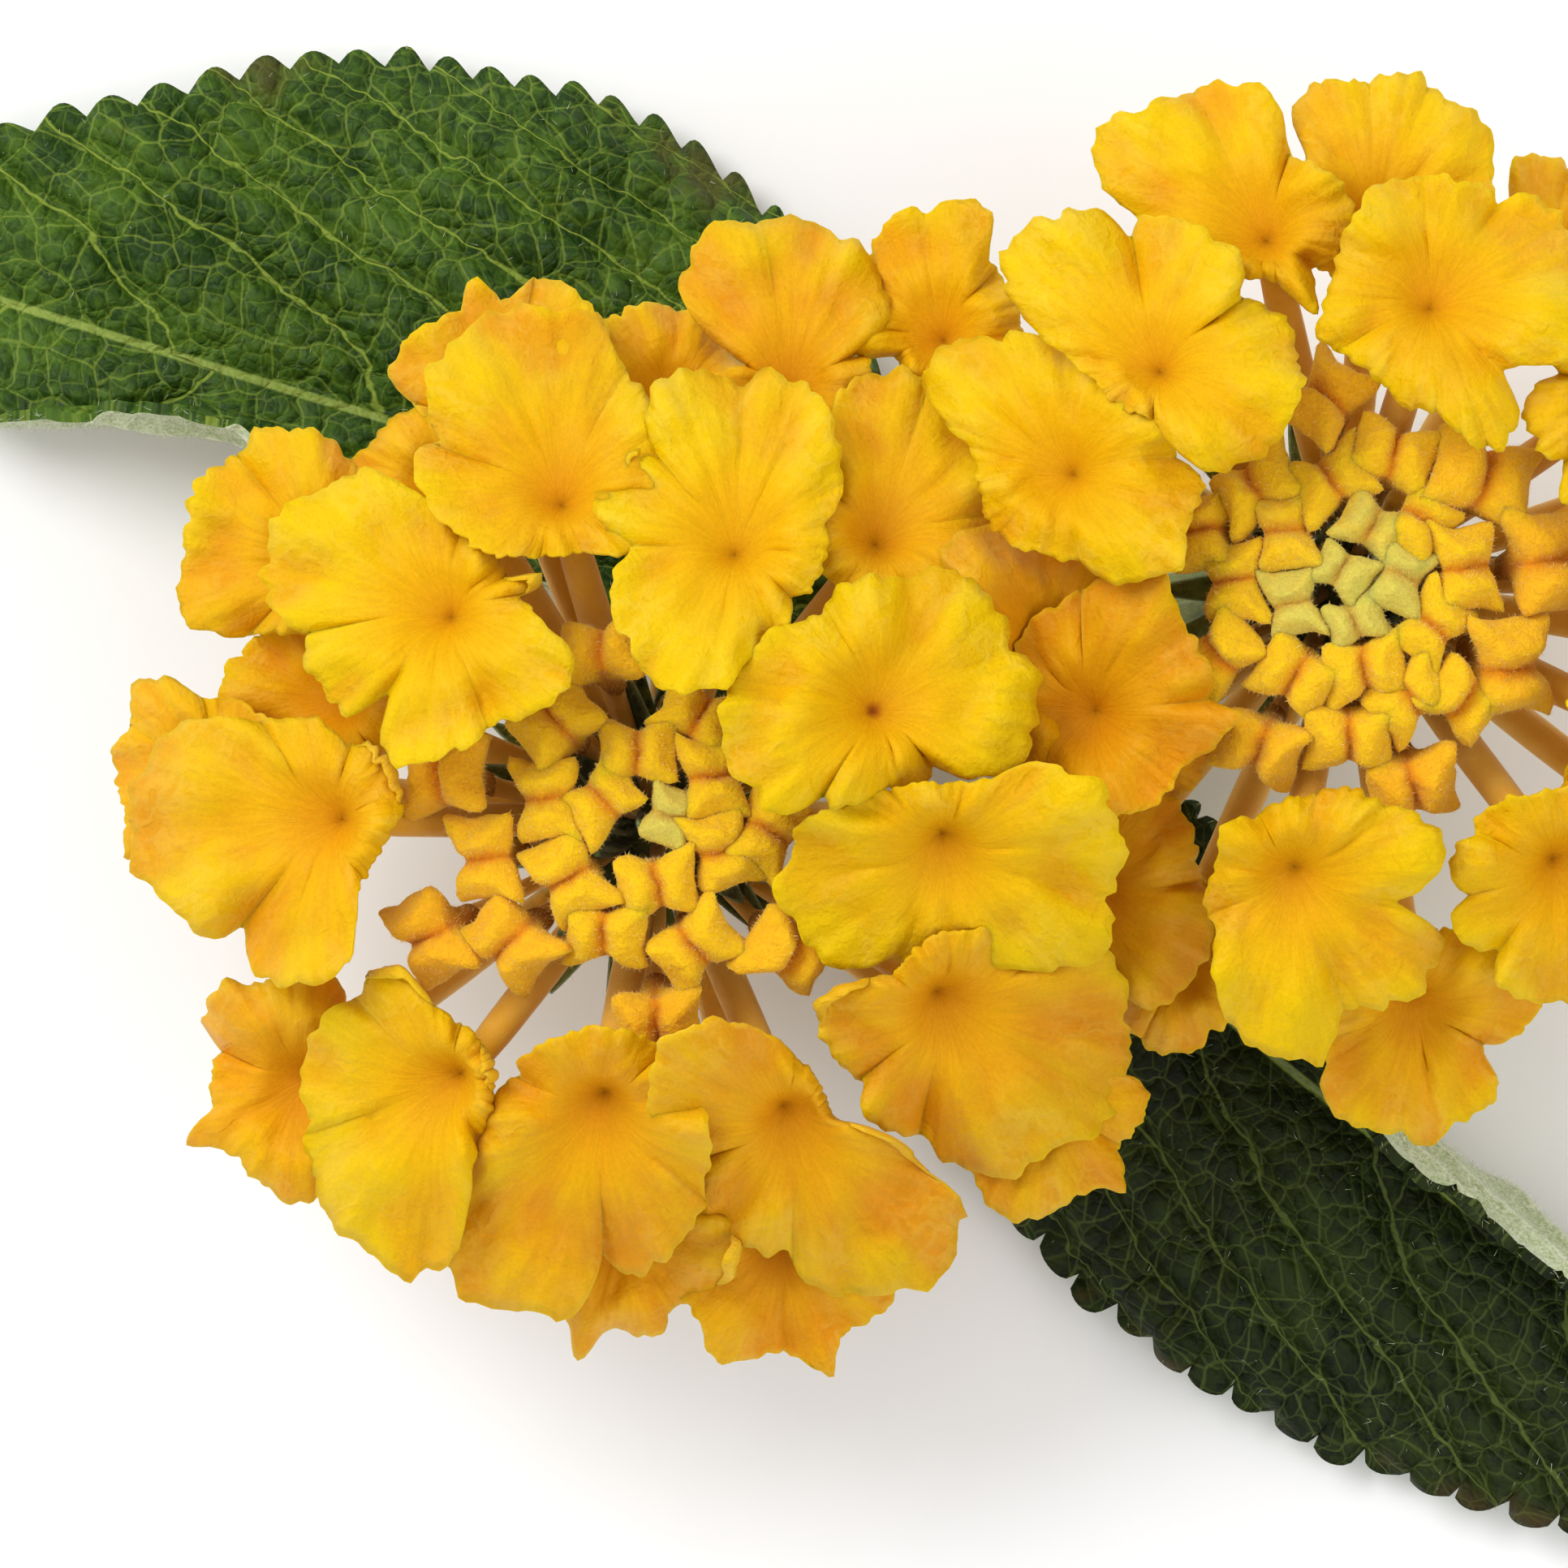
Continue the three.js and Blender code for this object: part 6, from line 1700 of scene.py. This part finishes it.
class LantanaBuds(bpy.types.PropertyGroup):
    """Sizes and colours of the closed buds."""

    length: length_of("Length", "Length of a bud across its crease", 2.55)
    down_share: share_of("Down", "How thick the fine hairs stand", 1.0)
    young_colour: paint("Young", "Buds in the middle of a head", (0.68, 0.58, 0.10))
    ripe_colour: paint("Ripe", "Buds further out", (0.93, 0.55, 0.010))
    old_colour: paint("Old", "Outermost buds", (0.93, 0.47, 0.014))
    # painted shade in the crease and under the pads
    painted_crease_shade_colour: paint("Crease", "Crease between the two pads", (0.679, 0.188, 0.007))
    painted_neck_shade_colour: paint("Neck", "Neck under a bud", (0.429, 0.141, 0.013))
    down_colour: paint("Hairs", "Fine hairs on the buds", (1.0, 0.74, 0.27))


class LantanaLeaves(bpy.types.PropertyGroup):
    """Sizes and colours of the leaves."""

    blade_thickness: length_of("Thickness", "Thickness of a blade", 0.3)
    blade_columns: count_of("Columns", "Points across half a blade", 46, 8)
    quilt: length_of("Quilt", "Height of the blade between its side veins", 0.48)
    cushion_height: length_of("Cushions", "Height of the small cushions of the net", 0.16)
    vein_width: length_of("Vein width", "Half width of a side vein", 0.055)
    rib_width: length_of("Midrib width", "Width of the midrib seen from above", 0.25)
    net_size: length_of("Net size", "Size of one cell of the fine net", 0.68)
    vein_spacing: length_of("Side vein spacing", "Spacing of the side veins at the midrib", 7.1)
    down_share: share_of("Down", "How thick the fine hairs stand", 1.0)
    dry_edge: share_of("Dry edge", "How brown the tips of the teeth are", 0.5)
    sunny_colour: paint("Sunny green", "Cushions of the left leaf", (0.062, 0.125, 0.010))
    sunny_dark_colour: paint("Sunny dark green", "Hollows of the left leaf", (0.014, 0.040, 0.004))
    sunny_vein_colour: paint("Sunny veins", "Veins of the left leaf", (0.21, 0.29, 0.035))
    # the right leaf has the left leaf's green, darkened: painted shade
    painted_shade_leaf_colour: paint("Shade green", "Cushions of the right leaf", (0.021, 0.033, 0.004))
    painted_shade_leaf_dark_colour: paint("Shade dark green", "Hollows of the right leaf", (0.006, 0.010, 0.002))
    painted_shade_leaf_vein_colour: paint("Shade veins", "Veins of the right leaf", (0.085, 0.115, 0.022))
    rib_colour: paint("Midrib", "Midrib seen from above", (0.25, 0.33, 0.06))
    under_colour: paint("Underside", "Under face of a blade", (0.30, 0.39, 0.17))
    down_colour: paint("Underside down", "Downy veins of the under face", (0.68, 0.72, 0.50))
    dry_colour: paint("Dry tips", "Brown tips of the teeth", (0.08, 0.035, 0.015))


class LantanaStems(bpy.types.PropertyGroup):
    """Sizes and colours of the stem, the stalks and the bracts."""

    stem_radius: length_of("Stem radius", "Radius of the stem between its ribs", 1.42)
    stalk_radius: length_of("Stalk radius", "Radius of a flower stalk", 0.8)
    bract_width: length_of("Bract width", "Width of a bract", 1.25)
    inner_bracts: count_of("Inner bracts", "Bracts between the tubes of a head", 30)
    down_share: share_of("Down", "How thick the fine hairs stand", 1.0)
    light_colour: paint("Light green", "Ribs and veins", (0.24, 0.3, 0.09))
    dark_colour: paint("Dark green", "Between the ribs", (0.09, 0.13, 0.035))
    bract_colour: paint("Bract", "Bract between its veins", (0.03, 0.06, 0.018))
    bract_vein_colour: paint("Bract veins", "Veins and margin of a bract", (0.16, 0.22, 0.07))
    down_colour: paint("Hairs", "Hairs on stem, stalks and bracts", (0.6, 0.62, 0.4))


class LantanaStage(bpy.types.PropertyGroup):
    """Floor, light and camera."""

    floor_colour: paint("Floor", "Plain pale floor", (0.93, 0.93, 0.93))
    sky_strength: power_of("Soft light", "Even light from all round", 0.80)
    key_strength: power_of("Key light", "Power of the large lamp, in watts", 3.0)
    camera_height: length_of("Camera height", "Height of the camera over the surface", 1200.0)
    view_width: length_of("View width", "Width of the picture at the heads", 48.3)


# ---- operators ----


RIGHT_SEED = 50  # the right head's florets count on from here


class AddFlorets(bpy.types.Operator):
    """Adds the open florets of both heads, with their tubes."""

    bl_idname = "lantana.add_florets"
    bl_label = "Add open florets"

    def execute(self, context):
        petals = context.scene.lantana_petals
        finish = limb_finish()
        for side, head in HEADS.items():
            middle = (*head["middle"], HEAD_HEIGHT)
            blocks = []
            for index, row in enumerate(head["florets"]):
                points, faces, values = floret(row, index + (0 if side == "left" else RIGHT_SEED), petals)
                blocks.append((points + middle, faces, values))
            half = len(blocks) // 2  # two pieces a head, for the limit on triangles
            for name, part in (("upper", blocks[:half]), ("lower", blocks[half:])):
                limbs = piece_of(f"florets_{side}_{name}", *joined(part))
                add_material(limbs, finish)
                settle(limbs, [f"flowers_{side}"])
            paths = [tube_path(row) for row in head["florets"]]
            paths += [bud_tube_path(row) for row in head["buds"]]
            tubes = path_piece(f"tubes_{side}", paths, middle, 14, tube_finish())
            settle(tubes, [f"flowers_{side}"])
        return {"FINISHED"}


class AddBuds(bpy.types.Operator):
    """Adds the closed buds in the middle of both heads, with their fine hairs."""

    bl_idname = "lantana.add_buds"
    bl_label = "Add closed buds"

    def execute(self, context):
        look = context.scene.lantana_buds
        for seed, (side, head) in enumerate(HEADS.items()):
            middle = np.array((*head["middle"], HEAD_HEIGHT))
            rows = []
            for row in head["buds"]:
                x, y, _, size = row
                out = math.hypot(x, y)
                age = float(eased(head["pale"] - 0.5, head["pale"] + 1.2, out)) * 0.5
                age += float(eased(3.5, 7.0, out)) * 0.45
                rows.append((middle + bud_place(x, y), bud_turn(row), (size, size, size), age))
            buds = copies_piece(f"buds_{side}", bud_form(look.length / MM), rows, bud_finish(), 0.5)
            settle(buds, [f"flowers_{side}"])
            material = down_finish("Bud down", look.down_colour)
            hairs = downed(buds, f"bud_hairs_{side}", look, material, 11 + seed, 27, 0.12, 0.009)
            settle(hairs, [f"flowers_{side}"])
        return {"FINISHED"}


BRACT_LENGTH = 5.0
BRACT_THICKNESS = 0.16
GOLDEN = 0.618  # part of a full turn between one inner bract and the next


def turned(azimuth, rise):
    """Rotation of a form that lies along +X to an azimuth and a rise."""
    return Matrix.Rotation(azimuth, 3, "Z") @ Matrix.Rotation(-rise, 3, "Y")


def bract_rows(head, look, seed):
    """Places of the bracts of one head: under it, between its tubes and between its middle buds."""
    middle = np.array((*head["middle"], HEAD_HEIGHT))
    chance = random.Random(seed)
    rows = []
    for azimuth, length in BRACTS:
        a = math.radians(azimuth)
        place = middle + (0.6 * math.cos(a), 0.6 * math.sin(a), -1.0)
        rows.append((place, Euler((0, -0.08, a)), (length / BRACT_LENGTH, 1, length / BRACT_LENGTH), 0.5))
    for i in range(look.inner_bracts):
        a = 2 * math.pi * (i + chance.uniform(-0.3, 0.3)) * GOLDEN
        level = (i + 0.5) / look.inner_bracts
        rise = math.radians(18 + 62 * level + chance.uniform(-6, 6))
        place = middle + (0.9 * math.cos(a), 0.9 * math.sin(a), 0.2 + 2.4 * level)
        size = chance.uniform(0.85, 1.3)
        turn = turned(a, rise) @ Matrix.Rotation(chance.uniform(-0.5, 0.5), 3, "X")
        rows.append((place, turn.to_euler(), (size, 0.85, size), 0.5))
    for x, y in head["tips"]:
        place = middle + (0.8 * x, 0.8 * y, BUD_TOP - 3.0)
        rows.append((place, turned(math.atan2(y, x), math.radians(78)).to_euler(), (0.6, 0.6, 0.6), 0.2))
    return rows


class AddStalks(bpy.types.Operator):
    """Adds the flower stalks, the receptacles and the bracts of both heads."""

    bl_idname = "lantana.add_stalks"
    bl_label = "Add stalks and bracts"

    def execute(self, context):
        look = context.scene.lantana_stems
        green = green_finish("Stalk green", look.light_colour, look.dark_colour, 1.5)
        leafy = green_finish("Bract green", look.bract_vein_colour, look.bract_colour, 0.8)
        down = down_finish("Green down", look.down_colour)
        for seed, (side, head) in enumerate(HEADS.items()):
            middle = np.array((*head["middle"], HEAD_HEIGHT))
            line, _ = smooth_line(rooted(bezier(*head["stalk"], 7)), 44)
            t = np.linspace(0, 1, len(line))
            radius = look.stalk_radius / MM * (1 + 0.25 * eased(0.8, 1, t) + 0.12 * eased(0.15, 0, t))
            stalk = ribbed_rod(line, radius, 32, 4, 0.08)
            base = ball_of(middle + (0, 0, -0.9), (1.45, 1.45, 0.9))
            core = ball_of(middle + (0, 0, 1.3), (1.35, 1.35, 2.3))
            stalks = piece_of(f"stalk_{side}", *joined([stalk, base, core]))
            add_material(stalks, green)
            settle(stalks, [f"peduncle_{side}"])
            form = bract_form(BRACT_LENGTH, look.bract_width / MM, BRACT_THICKNESS)
            bracts = copies_piece(f"bracts_{side}", form, bract_rows(head, look, 21 + seed), leafy)
            settle(bracts, [f"peduncle_{side}"])
            hairs = downed(bracts, f"bract_hairs_{side}", look, down, 31 + seed, 7, 0.22, 0.008, 0.7)
            settle(hairs, [f"peduncle_{side}"])
            hairs = downed(stalks, f"stalk_hairs_{side}", look, down, 35 + seed, 9, 0.22, 0.009, 0.7)
            settle(hairs, [f"peduncle_{side}"])
        return {"FINISHED"}


class AddStem(bpy.types.Operator):
    """Adds the short cut stem with the swollen leaf node."""

    bl_idname = "lantana.add_stem"
    bl_label = "Add stem"

    def execute(self, context):
        look = context.scene.lantana_stems
        line, _ = smooth_line(STEM_PATH, 70)
        radius = np.full(len(line), look.stem_radius / MM)
        shaft = ribbed_rod(line, radius, 40, 4, 0.07)
        node = ball_of(LEAF_NODE, (1.8, 1.8, 1.53), 20, 36)
        stem = piece_of("stem_shown", *joined([shaft, node]))
        add_material(stem, green_finish("Stem green", look.light_colour, look.dark_colour, 2.0))
        settle(stem, ["stem"])
        down = down_finish("Green down", look.down_colour)
        hairs = downed(stem, "stem_hairs", look, down, 41, 7, 0.25, 0.009, 0.7)
        settle(hairs, ["stem"])
        return {"FINISHED"}


class AddLeaves(bpy.types.Operator):
    """Adds both leaves, with their stalks and the hairs of their under faces."""

    bl_idname = "lantana.add_leaves"
    bl_label = "Add leaves"

    def execute(self, context):
        look = context.scene.lantana_leaves
        # the left leaf in its own green; the right leaf in a darker copy of it, painted shade
        sunny = (look.sunny_colour, look.sunny_dark_colour, look.sunny_vein_colour, 0.42, 0.20)
        shade = (look.painted_shade_leaf_colour, look.painted_shade_leaf_dark_colour, look.painted_shade_leaf_vein_colour, 0.5, 0.28)
        upper = {
            "left": blade_finish("Leaf upper sunny", *sunny),
            "right": blade_finish("Leaf upper painted shade", *shade),
        }
        stems = context.scene.lantana_stems
        green = green_finish("Leaf stalk green", stems.light_colour, stems.dark_colour, 1.2)
        for seed, (side, leaf) in enumerate(LEAVES.items()):
            points, faces, values = leaf_blade(leaf, look)
            blade = piece_of(f"blade_{side}", points, faces, values)
            add_material(blade, upper[side], under_leaf_finish())
            # the sheet's first block of faces is its top and the second its underside; the rim stays crisp
            order = np.arange(len(blade.data.polygons))
            one_side = len(faces[0])
            under = (order >= one_side) & (order < 2 * one_side)
            blade.data.polygons.foreach_set("material_index", under.astype(np.int32))
            blade.data.polygons.foreach_set("use_smooth", order < 2 * one_side)
            settle(blade, [f"leaf_{side}"])
            # the leaf stalk runs on as the midrib, just under the blade
            line, _ = smooth_line(leaf["midrib"], 200)
            spine = rooted(leaf["petiole"])
            for share in (0.0, 0.12, 0.3, 0.5, 0.7, 0.85, 0.96):
                spine.append(line[int(share * 199)] - (0, 0, 0.42 - 0.22 * share))
            spine, _ = smooth_line(spine, 70)
            t = np.linspace(0, 1, len(spine))
            petiole = piece_of(f"petiole_{side}", *ribbed_rod(spine, 0.8 - 0.66 * t ** 0.6, 24, 3, 0.05))
            add_material(petiole, green)
            settle(petiole, [f"leaf_{side}"])
            down = down_finish("Leaf down", look.down_colour)
            hairs = downed(blade, f"leaf_hairs_{side}", look, down, 51 + seed, 22, 0.3, 0.009, 0.9)
            settle(hairs, [f"leaf_{side}"])
        return {"FINISHED"}


# Stage, in metres: the lamps are (name, place, size, share of the key light's power).
FLOOR_WIDTH = 3.0
LAMPS = (("key", (-0.34, 0.30, 0.52), 0.42, 1.0), ("fill", (0.45, -0.2, 0.45), 0.5, 0.3))
VIEW_MIDDLE = (-0.00222, 0.00101)
HEADS_LEVEL = 0.018  # height over the surface at which the view is as wide as asked
SENSOR = 36.0  # width of the camera's sensor, in millimetres


class SetStage(bpy.types.Operator):
    """Adds the pale floor, the soft light and the camera over the sprig."""

    bl_idname = "lantana.set_stage"
    bl_label = "Set stage"

    def execute(self, context):
        look = context.scene.lantana_stage
        half = FLOOR_WIDTH / 2
        mesh = bpy.data.meshes.new("floor")
        corners = [(-half, -half, 0), (half, -half, 0), (half, half, 0), (-half, half, 0)]
        mesh.from_pydata(corners, [], [(0, 1, 2, 3)])
        floor = placed("floor", mesh)

        def build(tree):
            value = noise(tree, object_place(tree), 300.0, 2.0, 0.5)
            dim = [part * 0.985 for part in look.floor_colour]
            return {"Base Color": mixed(tree, value, dim, look.floor_colour)}

        add_material(floor, finish_of("Pale floor", build, Roughness=0.9, Specular_IOR_Level=0.1))
        world = bpy.data.worlds.new("Soft light")
        world.use_nodes = True
        sky = world.node_tree.nodes["Background"].inputs
        sky["Color"].default_value = (1, 1, 1, 1)
        sky["Strength"].default_value = look.sky_strength
        context.scene.world = world
        for name, place, size, share in LAMPS:
            lamp = bpy.data.lights.new(name, "AREA")
            lamp.shape = "DISK"
            lamp.size = size
            lamp.energy = look.key_strength * share
            holder = placed(name, lamp)
            holder.location = place
            holder.rotation_euler = Vector(place).to_track_quat("Z", "Y").to_euler()
        camera = bpy.data.cameras.new("camera")
        camera.sensor_width = SENSOR
        camera.lens = SENSOR * (look.camera_height - HEADS_LEVEL) / look.view_width
        camera.clip_start = 0.05
        camera.clip_end = 20.0
        holder = placed("camera", camera)
        holder.location = (*VIEW_MIDDLE, look.camera_height)
        context.scene.camera = holder
        context.scene.view_settings.view_transform = "Standard"
        return {"FINISHED"}


class LantanaPanel(bpy.types.Panel):
    """Lists the pieces of the sprig with their sizes and colours."""

    bl_idname = "VIEW3D_PT_lantana"
    bl_label = "Lantana sprig"
    bl_space_type = "VIEW_3D"
    bl_region_type = "UI"
    bl_category = "Lantana"

    def draw(self, context):
        for group, operators in (
            (context.scene.lantana_petals, (AddFlorets,)),
            (context.scene.lantana_buds, (AddBuds,)),
            (context.scene.lantana_stems, (AddStalks, AddStem)),
            (context.scene.lantana_leaves, (AddLeaves,)),
            (context.scene.lantana_stage, (SetStage,)),
        ):
            box = self.layout.box()
            for operator in operators:
                box.operator(operator.bl_idname)
            for name in group.__annotations__:
                box.prop(group, name)


GROUPS = {
    "lantana_petals": LantanaPetals,
    "lantana_buds": LantanaBuds,
    "lantana_leaves": LantanaLeaves,
    "lantana_stems": LantanaStems,
    "lantana_stage": LantanaStage,
}
CLASSES = (*GROUPS.values(), AddFlorets, AddBuds, AddStalks, AddStem, AddLeaves, SetStage, LantanaPanel)


def register():
    for item in CLASSES:
        bpy.utils.register_class(item)
    for name, group in GROUPS.items():
        setattr(bpy.types.Scene, name, bpy.props.PointerProperty(type=group))


def unregister():
    for name in GROUPS:
        delattr(bpy.types.Scene, name)
    for item in reversed(CLASSES):
        bpy.utils.unregister_class(item)


def main():
    register()
    bpy.ops.lantana.set_stage()
    bpy.ops.lantana.add_florets()
    bpy.ops.lantana.add_buds()
    bpy.ops.lantana.add_stalks()
    bpy.ops.lantana.add_stem()
    bpy.ops.lantana.add_leaves()
    bpy.context.view_layer.update()


if __name__ == "__main__":
    main()
